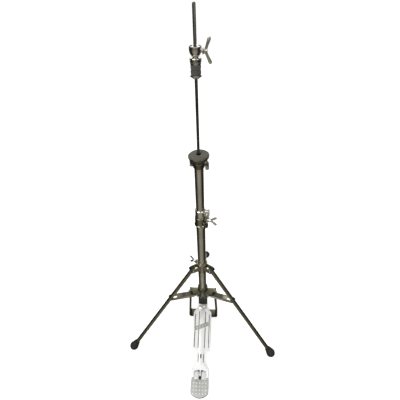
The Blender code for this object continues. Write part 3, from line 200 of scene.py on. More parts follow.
class Finish:
    """A material whose Principled shader is fed by node sums."""

    def __init__(self, name, color, roughness, metallic, **fixed):
        self.material = bpy.data.materials.new(name)
        self.material.use_nodes = True
        self.nodes = self.material.node_tree.nodes
        self.links = self.material.node_tree.links
        self.shader = self.nodes["Principled BSDF"]
        self.shader.inputs["Base Color"].default_value = (*color, 1.0)
        self.shader.inputs["Roughness"].default_value = roughness
        self.shader.inputs["Metallic"].default_value = metallic
        for socket, value in fixed.items():
            self.shader.inputs[socket.replace("_", " ")].default_value = value
        self.place = self.node("ShaderNodeTexCoord", {}, {})["Object"]

    def node(self, kind, settings, values):
        """Adds a node; its outputs come back by name, or as a list of Wires."""
        node = self.nodes.new(kind)
        for key, value in settings.items():
            setattr(node, key, value)
        for key, value in values.items():
            if isinstance(value, Wire):
                self.links.new(value.socket, node.inputs[key])
            else:
                node.inputs[key].default_value = value
        return Outputs(self, node)

    def noise(self, scale, detail=3.0, roughness=0.55, stretch=(1, 1, 1)):
        place = self.node("ShaderNodeMapping", {}, {"Vector": self.place, "Scale": stretch})
        return self.node("ShaderNodeTexNoise", {}, {
            "Vector": place[0], "Scale": scale, "Detail": detail,
            "Roughness": roughness})["Fac"]

    def blend(self, share, first, second):
        """A colour between two, by a share from 0 to 1."""
        mix = self.nodes.new("ShaderNodeMix")
        mix.data_type = "RGBA"
        self.links.new(share.socket, mix.inputs[0])
        for slot, color in ((6, first), (7, second)):
            if isinstance(color, Wire):
                self.links.new(color.socket, mix.inputs[slot])
            else:
                mix.inputs[slot].default_value = (*color, 1.0)
        return Wire(self, mix.outputs[2])

    def feed(self, socket, wire):
        self.links.new(wire.socket, self.shader.inputs[socket])

    def bump(self, height, strength, distance):
        bump = self.node("ShaderNodeBump", {}, {
            "Height": height, "Strength": strength, "Distance": distance})
        self.feed("Normal", bump[0])


class Outputs:
    """A node's outputs, by number or by name."""

    def __init__(self, finish, node):
        self.finish, self.made = finish, node

    def __getitem__(self, key):
        return Wire(self.finish, self.made.outputs[key])


# %% [markdown]
# The floor is white paper. In a studio the polished parts would mirror the white paper
# in front of them and the dark room beside it; so the paper answers mirror rays with a
# pattern, dim ahead of the stand and dark at its two sides. The eye only sees white, and
# a little glow, for the camera alone, hides the line where the paper meets the sky.

# %% Floor
FLOOR_SIZE = 90.0
PAPER_WHITE = (0.93, 0.93, 0.93)
PAPER_GLOW = 0.66
MIRRORED_AHEAD, MIRRORED_SIDES = (0.42, 0.39, 0.31), (0.012, 0.011, 0.008)


def add_floor():
    bpy.ops.mesh.primitive_plane_add(size=FLOOR_SIZE)
    floor = bpy.context.object
    floor.name = "studio_floor"
    paper = Finish("floor_paper", PAPER_WHITE, 0.9, 0.0, Emission_Strength=PAPER_GLOW)
    spot = paper.node("ShaderNodeSeparateXYZ", {}, {0: paper.place})
    side = spot["X"].math("ABSOLUTE")
    ahead = spot["Y"].math("ABSOLUTE")
    share = side.math("DIVIDE", side + ahead + 0.04)
    dark = (share * 3.0 - 1.0).bounded(0.0, 1.0)
    mirrored = paper.blend(dark, MIRRORED_AHEAD, MIRRORED_SIDES)
    path = paper.node("ShaderNodeLightPath", {}, {})
    paper.feed("Emission Color", paper.blend(path["Is Camera Ray"], (0, 0, 0), (1, 1, 1)))
    paper.feed("Base Color", paper.blend(path["Is Glossy Ray"], PAPER_WHITE, mirrored))
    floor.data.materials.append(paper.material)


add_floor()

# %% [markdown]
# ## Finishes
# Chrome that has been gigged for years is never one value: it has cloudy fingerprints,
# fine rubbing marks along the tube and small pits where rust has started. All three are
# noise at different sizes. One recipe gives every metal on the stand: a clean and a tired
# colour, a roughness and its spread, and how deep the rubbing marks are.

# %% Metal finishes
FINISHES = {}


def metal(slot, color, tired, roughness, spread, mark, pits=0.66, stretch=(1, 1, 0.05)):
    finish = Finish(slot + "_finish", color, roughness, 1.0)
    cloud = finish.noise(26.0, detail=5.0)
    rub = finish.noise(900.0, detail=2.0, stretch=stretch)
    pit = (finish.noise(520.0, detail=1.0) - pits).bounded(0.0, 0.1) * 10.0
    clean = finish.blend((cloud * 2.4 - 0.75).bounded(0.0, 1.0), color, tired)
    finish.feed("Base Color", finish.blend(pit, clean, tuple(c * 0.35 for c in tired)))
    rough = cloud * spread + rub * (spread * 0.5) + pit * 0.3 + (roughness - spread * 0.6)
    finish.feed("Roughness", rough.bounded(0.04, 0.85))
    finish.bump(rub - pit * 0.8, mark, 0.00008)
    FINISHES[slot] = finish.material


metal("tube_chrome", (0.66, 0.645, 0.60), (0.50, 0.48, 0.42), 0.12, 0.10, 0.10)
metal("hardware_chrome", (0.80, 0.79, 0.76), (0.50, 0.48, 0.42), 0.10, 0.08, 0.12,
      stretch=(1, 1, 1))
# The pull rod is chrome like the tubes; its base colour is darkened here as a painted dark
# reflection.
metal("rod_chrome_painted_dark", (0.15, 0.145, 0.12), (0.09, 0.085, 0.07), 0.14, 0.10, 0.10)
metal("leg_steel", (0.30, 0.285, 0.21), (0.20, 0.19, 0.13), 0.20, 0.14, 0.16)
metal("frame_steel", (0.17, 0.165, 0.11), (0.10, 0.095, 0.06), 0.32, 0.14, 0.18,
      stretch=(1, 1, 1))
metal("seat_steel", (0.21, 0.20, 0.15), (0.13, 0.125, 0.09), 0.30, 0.14, 0.18,
      stretch=(1, 1, 1))
metal("spring_steel", (0.42, 0.41, 0.38), (0.22, 0.20, 0.16), 0.30, 0.16, 0.2,
      stretch=(1, 1, 1))
print("metal finishes:", sorted(FINISHES))

# %% [markdown]
# The pedal is cast aluminium, tumbled until it is pale and satin. Its colour follows the
# height above the board, the dot product of the place with the board's own up direction,
# and the low places are painted shade: mid-tone between the heel's studs and on the grip
# band, near-dark painted shadow in the grooves, gaps and recess and along the sides.
# Random smears on top of that are real dirt.

# %% Cast alloy
HINGE = Vector((0.0, -0.217, 0.009))
SLOPE = math.radians(19.0)
BOARD_TOP = 0.005


def alloy(slot, slope, origin, shade_grey_below, shade_black_below, band=None):
    """Painted shade falls below these heights, mid-tone then near-dark; band is a span of
    height that gets the mid-tone painted shade too.
    """
    finish = Finish(slot + "_finish", (0.84, 0.84, 0.81), 0.4, 0.25)
    up = (0.0, -math.sin(slope), math.cos(slope))
    height = finish.node("ShaderNodeVectorMath", {"operation": "DOT_PRODUCT"},
                         {0: finish.place, 1: up})["Value"] - origin.dot(Vector(up))
    grain = finish.noise(1500.0, detail=2.0)
    smear = finish.noise(45.0, detail=5.0)
    # Painted shade: mid-tone under a height and inside the band's span.
    painted_low_shade = ((shade_grey_below - height) * 2000.0).bounded(0.0, 0.55)
    if band:
        inside = ((height - band[0]) * 5000.0).bounded(0.0, 1.0)
        painted_low_shade = painted_low_shade + inside * ((band[1] - height) * 5000.0).bounded(0.0, 1.0)
    # Painted shade mixed with real dirt from random smears.
    dirt_and_shade = (painted_low_shade + smear * 0.8 - 0.44).bounded(0.0, 1.0)
    pale = finish.blend(dirt_and_shade, (0.95, 0.95, 0.93), (0.30, 0.30, 0.26))
    # Painted shadow: near-dark on every face under a height.
    painted_black_shade = ((shade_black_below - height) * 1500.0).bounded(0.0, 1.0)
    finish.feed("Base Color", finish.blend(painted_black_shade, pale, (0.045, 0.045, 0.038)))
    finish.feed("Roughness", (grain * 0.2 + dirt_and_shade * 0.2 + 0.28).bounded(0.1, 0.9))
    finish.bump(grain, 0.25, 0.00015)
    FINISHES[slot] = finish.material


# The footboard gets mid-tone painted shade only in the grip band's span; the heel gets it
# across its top, between the studs. Both are painted near-dark below their top faces.
NO_LOW_SHADE = -1.0      # a height below everything, so that no grey shows
alloy("cast_alloy", SLOPE, HINGE, NO_LOW_SHADE, BOARD_TOP - 0.0007, (0.0084, 0.0094))
alloy("heel_alloy", 0.0, Vector((0, 0, 0)), 0.0110, 0.0088)

# %% [markdown]
# Felt, rubber, webbing and nylon are the soft four. Felt is pressed wool: fine fibres
# at random over larger lumps, with a sheen. Rubber is dusty black. The pedal strap is
# woven webbing, so two crossing waves raise its threads. Nylon is smooth and grey.

# %% Soft finishes
def felt(slot, color, pale):
    finish = Finish(slot + "_finish", color, 0.95, 0.0, Sheen_Weight=0.25)
    fibre = finish.noise(1600.0, detail=6.0, roughness=0.75)
    lump = finish.noise(190.0, detail=3.0)
    finish.feed("Base Color", finish.blend((fibre * 1.5 + lump - 0.75).bounded(0.0, 1.0),
                                           color, pale))
    finish.bump(fibre + lump * 0.6, 0.9, 0.0005)
    FINISHES[slot] = finish.material


def rubber(slot, color, dust):
    finish = Finish(slot + "_finish", color, 0.6, 0.0)
    speck = finish.noise(700.0, detail=4.0)
    cloud = finish.noise(60.0, detail=4.0)
    dusty = (cloud * 1.4 + speck * 0.6 - 0.75).bounded(0.0, 1.0)
    finish.feed("Base Color", finish.blend(dusty, color, dust))
    finish.feed("Roughness", (speck * 0.3 + 0.42).bounded(0.2, 0.9))
    finish.bump(speck, 0.3, 0.0002)
    FINISHES[slot] = finish.material


def webbing(slot):
    finish = Finish(slot + "_finish", (0.02, 0.02, 0.019), 0.75, 0.0)
    spot = finish.node("ShaderNodeSeparateXYZ", {}, {0: finish.place})
    across = (spot["X"] * 5200.0).math("SINE")
    along = (spot["Z"] * 4200.0).math("SINE")
    weave = across * along * 0.5 + 0.5
    finish.feed("Base Color", finish.blend(weave.bounded(0.0, 1.0), (0.012, 0.012, 0.012),
                                           (0.05, 0.05, 0.046)))
    finish.feed("Roughness", (weave * 0.2 + 0.55).bounded(0.2, 0.9))
    finish.bump(weave, 0.6, 0.0003)
    FINISHES[slot] = finish.material


felt("seat_felt", (0.060, 0.058, 0.040), (0.16, 0.155, 0.12))
felt("clutch_felt", (0.030, 0.030, 0.027), (0.115, 0.115, 0.10))
rubber("foot_rubber", (0.010, 0.010, 0.010), (0.035, 0.034, 0.032))
rubber("nylon", (0.05, 0.05, 0.047), (0.11, 0.11, 0.10))
webbing("strap_black")
print("finishes:", sorted(FINISHES))

# %% [markdown]
# ## Tools for shaping
# Everything is selected after loading, and an operator works on all that is selected, so
# each piece starts by letting go of the rest. Five small tools do most of the work:
# turned grows a round piece ring by ring, plate fills and thickens an outline, soften
# rounds its edges, weld joins pieces into one skin, and hand_over gives the finished
# piece its finish, its body and the solids that it stands for.


# %% Tools
def let_go():
    if bpy.context.object and bpy.context.object.mode != "OBJECT":
        bpy.ops.object.mode_set(mode="OBJECT")
    bpy.ops.object.select_all(action="DESELECT")


def choose(piece):
    let_go()
    piece.select_set(True)
    bpy.context.view_layer.objects.active = piece


def settle(piece, place=Matrix.Identity(4)):
    """Merges doubles, turns faces outwards, and puts the place into the mesh."""
    choose(piece)
    bpy.ops.object.transform_apply(location=True, rotation=True, scale=True)
    bpy.ops.object.mode_set(mode="EDIT")
    bpy.ops.mesh.select_all(action="SELECT")
    bpy.ops.mesh.remove_doubles(threshold=0.000005)
    bpy.ops.mesh.normals_make_consistent(inside=False)
    bpy.ops.object.mode_set(mode="OBJECT")
    piece.data.transform(place)
    return piece


def turned(name, rings, sides=48, place=Matrix.Identity(4), closed=False):
    """A round piece about Z: each ring is (radius, height). closed joins last to first."""
    let_go()
    radius, height = rings[0]
    if closed:
        rings = rings + rings[:1]
    bpy.ops.mesh.primitive_circle_add(vertices=sides, radius=radius,
                                      location=(0, 0, height))
    piece = bpy.context.object
    piece.name = name
    bpy.ops.object.mode_set(mode="EDIT")
    bpy.ops.mesh.select_all(action="SELECT")
    if not closed:
        bpy.ops.mesh.edge_face_add()
    for (before, low), (after, high) in zip(rings, rings[1:]):
        bpy.ops.mesh.extrude_region_move(
            TRANSFORM_OT_translate={"value": (0, 0, high - low)})
        share = after / before
        bpy.ops.transform.resize(value=(share, share, 1), center_override=(0, 0, high))
    bpy.ops.object.mode_set(mode="OBJECT")
    return settle(piece, place)


def plate(name, outline, low, high, place=Matrix.Identity(4)):
    """A plate in XY with the given outline, from height low to high."""
    let_go()
    bpy.ops.mesh.primitive_circle_add(vertices=len(outline), radius=1.0)
    piece = bpy.context.object
    piece.name = name
    for vertex, (x, y) in zip(piece.data.vertices, outline):
        vertex.co = (x, y, low)
    bpy.ops.object.mode_set(mode="EDIT")
    bpy.ops.mesh.select_all(action="SELECT")
    bpy.ops.mesh.edge_face_add()
    bpy.ops.mesh.extrude_region_move(TRANSFORM_OT_translate={"value": (0, 0, high - low)})
    bpy.ops.object.mode_set(mode="OBJECT")
    return settle(piece, place)


def bar(name, low, high, place=Matrix.Identity(4)):
    """A square bar between two opposite corners."""
    outline = [(low[0], low[1]), (high[0], low[1]), (high[0], high[1]), (low[0], high[1])]
    return plate(name, outline, low[2], high[2], place)


def apply_last(piece):
    choose(piece)
    bpy.ops.object.modifier_apply(modifier=piece.modifiers[-1].name)


def soften(piece, width, segments=2, limit=40.0):
    """Rounds the edges that turn by more than the limit."""
    bevel = piece.modifiers.new("Bevel", "BEVEL")
    bevel.width = width
    bevel.segments = segments
    bevel.limit_method = "ANGLE"
    bevel.angle_limit = math.radians(limit)
    apply_last(piece)
    return piece


def weld(piece, *others, operation="UNION"):
    """Joins other pieces into this one as one skin, or cuts them from it."""
    for other in others:
        join = piece.modifiers.new("Join", "BOOLEAN")
        join.operation = operation
        join.solver = "EXACT"
        join.object = other
        apply_last(piece)
        bpy.data.objects.remove(other, do_unlink=True)
    return piece


BODY_OF = {node: body for body, nodes in frame["record"]["behaviour"]["bodies"].items()
           for node in nodes}
MADE = []


def hand_over(piece, finish, *nodes, body=None, angle=32.0, slot=None):
    """Shades the piece and gives it its finish, its body and its solids."""
    choose(piece)
    bpy.ops.object.shade_smooth_by_angle(angle=math.radians(angle))
    piece.data.materials.clear()
    piece.data.materials.append(FINISHES[finish])
    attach(piece, body or BODY_OF[nodes[0]])
    if nodes:
        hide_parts(*nodes)
    MADE.append(piece.name)
    return piece


# %% [markdown]
# Small pieces such as pins, bolts and brackets already have the right shape as solids.
# What they lack is what catches the light: a rounded edge. A copy of such a solid has
# its loose triangles merged, its flat faces made whole again, and its edges rounded.

# %% Refined solids
def refine(node, slot, width=0.0004, limit=40.0, segments=2):
    piece = bpy.data.objects.new(node + "_piece", frame["nodes"][node].data.copy())
    bpy.context.scene.collection.objects.link(piece)
    choose(piece)
    bpy.ops.object.mode_set(mode="EDIT")
    bpy.ops.mesh.select_all(action="SELECT")
    bpy.ops.mesh.remove_doubles(threshold=0.00001)
    bpy.ops.mesh.dissolve_limited(angle_limit=math.radians(1.0))
    bpy.ops.object.mode_set(mode="OBJECT")
    soften(piece, width, segments, limit)
    return hand_over(piece, slot, node)


REFINED = {
    "frame_steel": (("pedal_frame", 0.0008), ("base_casting", 0.0008), ("rod_yoke", 0.0006),
                    ("radius_bar", 0.0004)),
    "leg_steel": (("leg_collar", 0.0005), ("tube_clamp", 0.0005), ("brace_left", 0.0004),
                  ("brace_right", 0.0004), ("brace_rear", 0.0004)),
    "hardware_chrome": (("frame_bolt_left", 0.0003), ("frame_bolt_right", 0.0003),
                        ("memory_lock", 0.0006), ("memory_lock_screw", 0.0003),
                        ("clamp_pinch_screw", 0.0003), ("toe_clip", 0.0004),
                        ("toe_clip_screw", 0.0003), ("yoke_pin", 0.0003),
                        ("radius_bar_rivet", 0.0003), ("heel_screw", 0.0003),
                        ("clutch_washer", 0.0003), ("seat_pivot_pin", 0.0002),
                        ("tilt_screw", 0.0003), ("hinge_pin", 0.0003),
                        ("leg_pivot_pin_left", 0.0003), ("leg_pivot_pin_right", 0.0003),
                        ("leg_pivot_pin_rear", 0.0003), ("brace_pin_left", 0.0003),
                        ("brace_pin_right", 0.0003), ("brace_pin_rear", 0.0003)),
    "seat_steel": (("seat_base", 0.0005),),
    "strap_black": (("drive_strap", 0.0004),),
}
for slot, pairs in REFINED.items():
    for node, width in pairs:
        refine(node, slot, width)
print("refined solids:", len(MADE))


# %% [markdown]
# ## Tubes, rods and legs
# Tubes are the easiest turned pieces: four rings, outside up and inside down, whose last
# ring lands on the first so that the wall closes. A fifth and sixth ring at each end
# round the cut edge, which is what shows at the mouth of a real tube.

# %% Tubes and rods
TUBE_WALL = 0.0012
CUT_EDGE = 0.0004


def pipe(name, radius, low, high, place=Matrix.Identity(4), sides=64):
    inner, edge = radius - TUBE_WALL, CUT_EDGE
    rings = [(radius - edge, high), (radius, high - edge), (radius, low + edge),
             (radius - edge, low), (inner + edge, low), (inner, low + edge),
             (inner, high - edge), (inner + edge, high)]
    return turned(name, rings, sides, place, closed=True)


def span(node):
    low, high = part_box(node)
    return low.z, high.z


def width(node):
    low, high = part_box(node)
    return (high.x - low.x) / 2.0


for node in ("lower_tube", "upper_tube"):
    hand_over(pipe(node + "_piece", width(node), *span(node)), "tube_chrome", node)

rod_low, rod_high = span("upper_pull_rod")
ROD_R = width("upper_pull_rod")
rod = turned("upper_pull_rod_piece", [
    (ROD_R, rod_low), (ROD_R, rod_high - 0.0022), (ROD_R * 0.86, rod_high - 0.0012),
    (ROD_R * 0.55, rod_high - 0.0003), (ROD_R * 0.2, rod_high)], 32)
# The upper rod takes the chrome whose colour is darkened as painted dark reflection.
hand_over(rod, "rod_chrome_painted_dark", "upper_pull_rod", slot="tube_chrome")
rod_low, rod_high = span("lower_pull_rod")
rod = turned("lower_pull_rod_piece", [
    (width("lower_pull_rod"), rod_low), (width("lower_pull_rod"), rod_high)], 32)
hand_over(soften(rod, 0.0004), "leg_steel", "lower_pull_rod")
print("rod tops out at", round(span("upper_pull_rod")[1], 4))

# %% [markdown]
# The three legs are one tube turned about its own length and then leaned: a matrix that
# spins to the leg's side, steps out to its pivot and dips to the floor. The rubber foot
# is grown along the same line, rib by rib, and its sole is sliced flat where it stands.

# %% Legs and feet
SIDES = {"left": -60.0, "right": 60.0, "rear": 180.0}
LEG_PIVOT, FOOT_POINT = (0.034, 0.308), (0.275, 0.014)
LEG_LENGTH = math.hypot(FOOT_POINT[0] - LEG_PIVOT[0], LEG_PIVOT[1] - FOOT_POINT[1])
LEG_DIP = math.atan2(LEG_PIVOT[1] - FOOT_POINT[1], FOOT_POINT[0] - LEG_PIVOT[0])
LEG_R, LEG_HEAD, FOOT_SLEEVE, FOOT_R = 0.00635, 0.008, 0.022, 0.0146


def leg_place(side):
    spin = Matrix.Rotation(math.radians(SIDES[side] - 90.0), 4, "Z")
    out = Matrix.Translation((LEG_PIVOT[0], 0, LEG_PIVOT[1]))
    return spin @ out @ Matrix.Rotation(QUARTER + LEG_DIP, 4, "Y")


def foot_rings():
    start = LEG_LENGTH - FOOT_SLEEVE
    rings = [(LEG_R + 0.0003, start), (0.0088, start), (0.0095, start + 0.0008)]
    for i in range(5):
        at = start + 0.0024 + i * 0.0034
        wide = 0.0100 + i * 0.00085
        rings += [(wide - 0.0011, at), (wide, at + 0.0007), (wide + 0.0002, at + 0.0017),
                  (wide - 0.0008, at + 0.0024)]
    rings += [(FOOT_R * math.cos(a), LEG_LENGTH + FOOT_R * math.sin(a))
              for a in (math.radians(d) for d in (-10, 5, 22, 40, 58, 72, 83))]
    return rings


for side in SIDES:
    leg = pipe("leg_" + side + "_piece", LEG_R, -LEG_HEAD, LEG_LENGTH - TUBE_WALL,
               leg_place(side), 32)
    hand_over(leg, "leg_steel", "leg_" + side)
    foot = turned("foot_" + side + "_piece", foot_rings(), 40, leg_place(side))
    choose(foot)
    bpy.ops.object.mode_set(mode="EDIT")
    bpy.ops.mesh.select_all(action="SELECT")
    bpy.ops.mesh.bisect(plane_co=(0, 0, 0), plane_no=(0, 0, 1), use_fill=True,
                        clear_inner=True)
    bpy.ops.object.mode_set(mode="OBJECT")
    hand_over(foot, "foot_rubber", "foot_" + side)
print("leg length", round(LEG_LENGTH, 4), "dip", round(math.degrees(LEG_DIP), 1))

# %% [markdown]
# ## Wing screws
# A wing screw is forged: a turned shank and hub with two ears pressed flat between
# finger and thumb. Each ear is an outline that is narrow at the hub and wide at the tip,
# thickened, rounded at its edges and welded to the hub, once for each screw.

# %% Wing screws
STAND = Matrix.Rotation(QUARTER, 4, "X")
BLADE_T, SHANK_R, HUB_R = 0.0036, 0.0028, 0.0045


def blade_outline(reach, half):
    tip = reach
    neck, wide = half * 0.98, half * 1.18
    right = [(-0.001, -half), (0.003, -neck), (tip * 0.5, -neck), (tip - 0.002, -wide),
             (tip + half * 0.45, -wide * 0.92), (tip + half * 0.85, -wide * 0.5)]
    return right + [(tip + half, 0.0)] + [(x, -y) for x, y in reversed(right)]


def wing_screw(node, tip, flange_r, start, end, blades, place):
    """blades are (where on the axis, reach, lean from the axis, half width)."""
    screw = turned(node + "_piece", [
        (SHANK_R * 0.8, tip), (SHANK_R, tip + 0.0006), (SHANK_R, start),
        (flange_r - 0.0004, start), (flange_r, start + 0.0005), (flange_r, start + 0.0014),
        (flange_r - 0.0006, start + 0.002), (HUB_R, start + 0.0025),
        (HUB_R * 0.93, end - 0.003), (HUB_R, end - 0.0014), (HUB_R * 0.82, end - 0.0003),
        (HUB_R * 0.4, end)], 32)
    for base, reach, lean, half in blades:
        turn = Matrix.Rotation(math.radians(lean - 90.0), 4, "Y")
        blade = plate("blade", blade_outline(reach, half), -BLADE_T / 2, BLADE_T / 2,
                      Matrix.Translation((0, 0, base)) @ turn @ STAND)
        weld(screw, soften(blade, 0.0009, 3))
    screw.data.transform(place)
    return hand_over(screw, "hardware_chrome", node)


def pointing(azimuth, height):
    return (Matrix.Rotation(math.radians(azimuth), 4, "Z")
            @ Matrix.Translation((0, 0, height)) @ Matrix.Rotation(QUARTER, 4, "Y"))


LOWER_TUBE_R = 0.0127
wing_screw("clamp_wing_screw", LOWER_TUBE_R + 0.0006, 0.0075, 0.0215, 0.031,
           [(0.028, 0.019, 40.0, 0.0028), (0.028, 0.019, -40.0, 0.0028)],
           pointing(-15.0, 0.519))
wing_screw("collar_wing_screw", LOWER_TUBE_R + 0.0006, 0.0065, 0.0215, 0.032,
           [(0.029, 0.018, 42.0, 0.0028), (0.029, 0.018, -42.0, 0.0028)],
           pointing(150.0, 0.314))
wing_screw("clutch_wing_screw", ROD_R + 0.0006, 0.0058, 0.0125, 0.0215,
           [(0.0175, 0.021, 64.0, 0.0026), (0.0175, 0.021, -70.0, 0.0026)],
           pointing(0.0, 0.9295))
print("wing screws done")

# %% [markdown]
# ## The clutch
# The clutch holds the top cymbal on the rod. From the top it is a chrome bowl on a
# sleeve, a lock nut, a washer, two felts and a flanged nut, all turned. The bowl is
# dished on top and the lock nut has a groove where two nuts are screwed together.

# %% Clutch metal
SLEEVE_R, BORE_R = 0.005, 0.0033
CLUTCH_LOW, CLUTCH_HIGH = span("clutch_body")
bowl = turned("clutch_body_piece", [
    (BORE_R, CLUTCH_HIGH - 0.003), (0.0070, CLUTCH_HIGH - 0.0028),
    (0.0092, CLUTCH_HIGH - 0.0016), (0.0098, CLUTCH_HIGH - 0.0002),
    (0.0104, CLUTCH_HIGH), (0.0111, CLUTCH_HIGH - 0.0005), (0.0113, CLUTCH_HIGH - 0.0014),
    (0.0112, 0.9312), (0.0106, 0.9278), (0.0094, 0.9248), (0.0078, 0.9226),
    (0.0060, 0.9212), (SLEEVE_R, 0.9206), (SLEEVE_R, CLUTCH_LOW + 0.0004),
    (SLEEVE_R - 0.0004, CLUTCH_LOW), (BORE_R, CLUTCH_LOW)], 48, closed=True)
hand_over(bowl, "hardware_chrome", "clutch_body")

NUT_LOW, NUT_HIGH = span("clutch_lock_nut")
NUT_R, NUT_MID = width("clutch_lock_nut"), (NUT_LOW + NUT_HIGH) / 2.0
lock_nut = turned("clutch_lock_nut_piece", [
    (SLEEVE_R + 0.0003, NUT_HIGH), (NUT_R - 0.0022, NUT_HIGH),
    (NUT_R - 0.0007, NUT_HIGH - 0.0006),
    (NUT_R, NUT_HIGH - 0.0016), (NUT_R, NUT_MID + 0.0008), (NUT_R - 0.0010, NUT_MID + 0.0002),
    (NUT_R - 0.0010, NUT_MID - 0.0002), (NUT_R, NUT_MID - 0.0008), (NUT_R, NUT_LOW + 0.0010),
    (NUT_R - 0.0007, NUT_LOW), (SLEEVE_R + 0.0003, NUT_LOW)], 48, closed=True)
hand_over(lock_nut, "hardware_chrome", "clutch_lock_nut")

END_LOW, END_HIGH = span("clutch_bottom_nut")
end_nut = turned("clutch_bottom_nut_piece", [
    (SLEEVE_R + 0.0003, END_HIGH), (0.0104, END_HIGH), (0.0110, END_HIGH - 0.0006),
    (0.0110, END_HIGH - 0.0022), (0.0103, END_HIGH - 0.0030), (0.0084, END_HIGH - 0.0040),
    (0.0074, END_HIGH - 0.0052), (0.0056, END_LOW + 0.0004), (0.0050, END_LOW),
    (0.0034, END_LOW), (0.0034, 0.8837), (SLEEVE_R + 0.0003, 0.8837)], 48, closed=True)
hand_over(end_nut, "hardware_chrome", "clutch_bottom_nut")
print("clutch from", round(CLUTCH_LOW, 4), "to", round(CLUTCH_HIGH, 4))

# %% [markdown]
# Felts are cut from pressed wool and bulge a little between the nuts. They could be
# simulated, but a washer this thick hardly moves; so the bulge is in the rings, and the
# frayed edge comes from nudging every point at random by a tenth of a millimetre.

# %% Felts
FRAY = 0.00012


def felt_washer(node, slot, bore, place=Matrix.Identity(4), rings=None, seed=1):
    if rings is None:
        low, high = span(node)
        radius, mid = width(node), (low + high) / 2.0
        rings = [(bore, high - 0.0006), (bore + 0.0008, high), (radius - 0.0016, high),
                 (radius - 0.0006, high - 0.0005), (radius - 0.0001, high - 0.0018),
                 (radius, mid), (radius - 0.0001, low + 0.0018),
                 (radius - 0.0006, low + 0.0005), (radius - 0.0016, low),
                 (bore + 0.0008, low), (bore, low + 0.0006)]
    piece = turned(node + "_piece", rings, 56, place, closed=True)
    choose(piece)
    bpy.ops.object.mode_set(mode="EDIT")
    bpy.ops.mesh.select_all(action="SELECT")
    bpy.ops.mesh.subdivide(number_cuts=1)
    bpy.ops.transform.vertex_random(offset=FRAY, seed=seed)
    bpy.ops.object.mode_set(mode="OBJECT")
    hand_over(piece, slot, node, angle=60.0)
    return piece


felt_washer("clutch_felt_upper", "clutch_felt", SLEEVE_R + 0.0003, seed=3)
felt_washer("clutch_felt_lower", "clutch_felt", SLEEVE_R + 0.0003, seed=4)

# %% [markdown]
# ## The cymbal seat
# The lower cymbal rests on a felt in a pressed steel cup, and the cup tilts on a small
# pin. Both are turned about the cup's own axis, which leans by the seat's tilt. The
# felt stands proud of the cup and is a little domed, with a soft rim.

# %% Seat cup and felt
SEAT_TILT = math.radians(3.5)
SEAT_PLACE = (Matrix.Translation((-0.0175, 0, 0.694))
              @ Matrix.Rotation(-SEAT_TILT, 4, "Y") @ Matrix.Translation((0.0191, 0, 0)))
cup = turned("seat_cup_piece", [
    (0.0070, 0.0060), (0.0110, 0.0060), (0.0160, 0.0085), (0.0205, 0.0125),
    (0.0232, 0.0158), (0.0242, 0.0185), (0.0244, 0.0205), (0.0244, 0.0216),
    (0.0241, 0.0220), (0.0232, 0.0220), (0.0229, 0.0216), (0.0229, 0.0188),
    (0.0208, 0.0150), (0.0150, 0.0100), (0.0070, 0.0100)], 64, closed=True)
knuckle = soften(bar("seat_knuckle", (-0.0223, -0.0032, -0.003), (-0.0159, 0.0032, 0.0105)),
                 0.0014, 3)
weld(cup, knuckle)
cup.data.transform(SEAT_PLACE)
hand_over(cup, "seat_steel", "seat_cup")
felt_washer("seat_felt", "seat_felt", 0.0058, SEAT_PLACE, [
    (0.0058, 0.0240), (0.0066, 0.0249), (0.0120, 0.0250), (0.0180, 0.0248),
    (0.0210, 0.0244), (0.0222, 0.0235), (0.0226, 0.0222), (0.0226, 0.0190),
    (0.0205, 0.0154), (0.0148, 0.0104), (0.0058, 0.0104)], seed=5)
print("seat top at", round(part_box("seat_felt")[1].z, 4))

# %% [markdown]
# ## The footboard
# The footboard is a casting seen from above, so its top needs the most detail: a raised
# spine down the middle, a rail along each side, a groove beside each of them, a knurled
# band across for grip, and a slot in the neck. The plate comes first, then each feature
# is a small bar that is rounded and welded on, or cut away.

# %% Footboard plate
BOARD = Matrix.Translation(HINGE) @ Matrix.Rotation(SLOPE, 4, "X")
BOARD_SIDE = [(0.0285, 0.0128), (0.0255, 0.0195), (0.0205, 0.0262), (0.017, 0.032),
              (0.0147, 0.0366), (0.0135, 0.042), (0.0128, 0.053), (0.013, 0.064),
              (0.0142, 0.0668), (0.0165, 0.0685), (0.0235, 0.0698), (0.0275, 0.0712),
              (0.0293, 0.0735), (0.030, 0.0765), (0.0313, 0.130), (0.032, 0.187),
              (0.0315, 0.1925), (0.0295, 0.1965), (0.0240, 0.2035), (0.0187, 0.211),
              (0.0168, 0.2155), (0.0165, 0.220), (0.0165, 0.229)]
board = plate("footboard_piece", BOARD_SIDE + [(-x, y) for x, y in reversed(BOARD_SIDE)],
              0.0, BOARD_TOP)
soften(board, 0.0010, 3)
RAIL_X, SPINE_HALF, RAISED, PROUD = 0.0275, 0.0095, 0.0030, 0.0021
ROOT = BOARD_TOP - 0.001

for x in (-RAIL_X, RAIL_X):
    rail = bar("rail", (x - 0.0014, 0.077, ROOT), (x + 0.0014, 0.188, BOARD_TOP + PROUD))
    weld(board, soften(rail, 0.0006))
spine_side = [(SPINE_HALF, 0.070), (SPINE_HALF, 0.196), (0.0075, 0.201), (0.004, 0.203)]
foot_side = [(0.0035, 0.030), (0.0062, 0.033), (0.0070, 0.040), (0.0072, 0.062)]
outline = foot_side + spine_side
spine = plate("spine", outline + [(-x, y) for x, y in reversed(outline)], ROOT,
              BOARD_TOP + RAISED)
weld(board, soften(spine, 0.0008))
for x, low, high in ((-0.0112, 0.078, 0.196), (0.0112, 0.078, 0.196), (-0.0245, 0.080, 0.186),
                     (0.0245, 0.080, 0.186), (-0.0090, 0.036, 0.060), (0.0090, 0.036, 0.060)):
    groove = bar("groove", (x - 0.0011, low, BOARD_TOP - 0.0022),
                 (x + 0.0011, high, BOARD_TOP + 0.02))
    weld(board, groove, operation="DIFFERENCE")
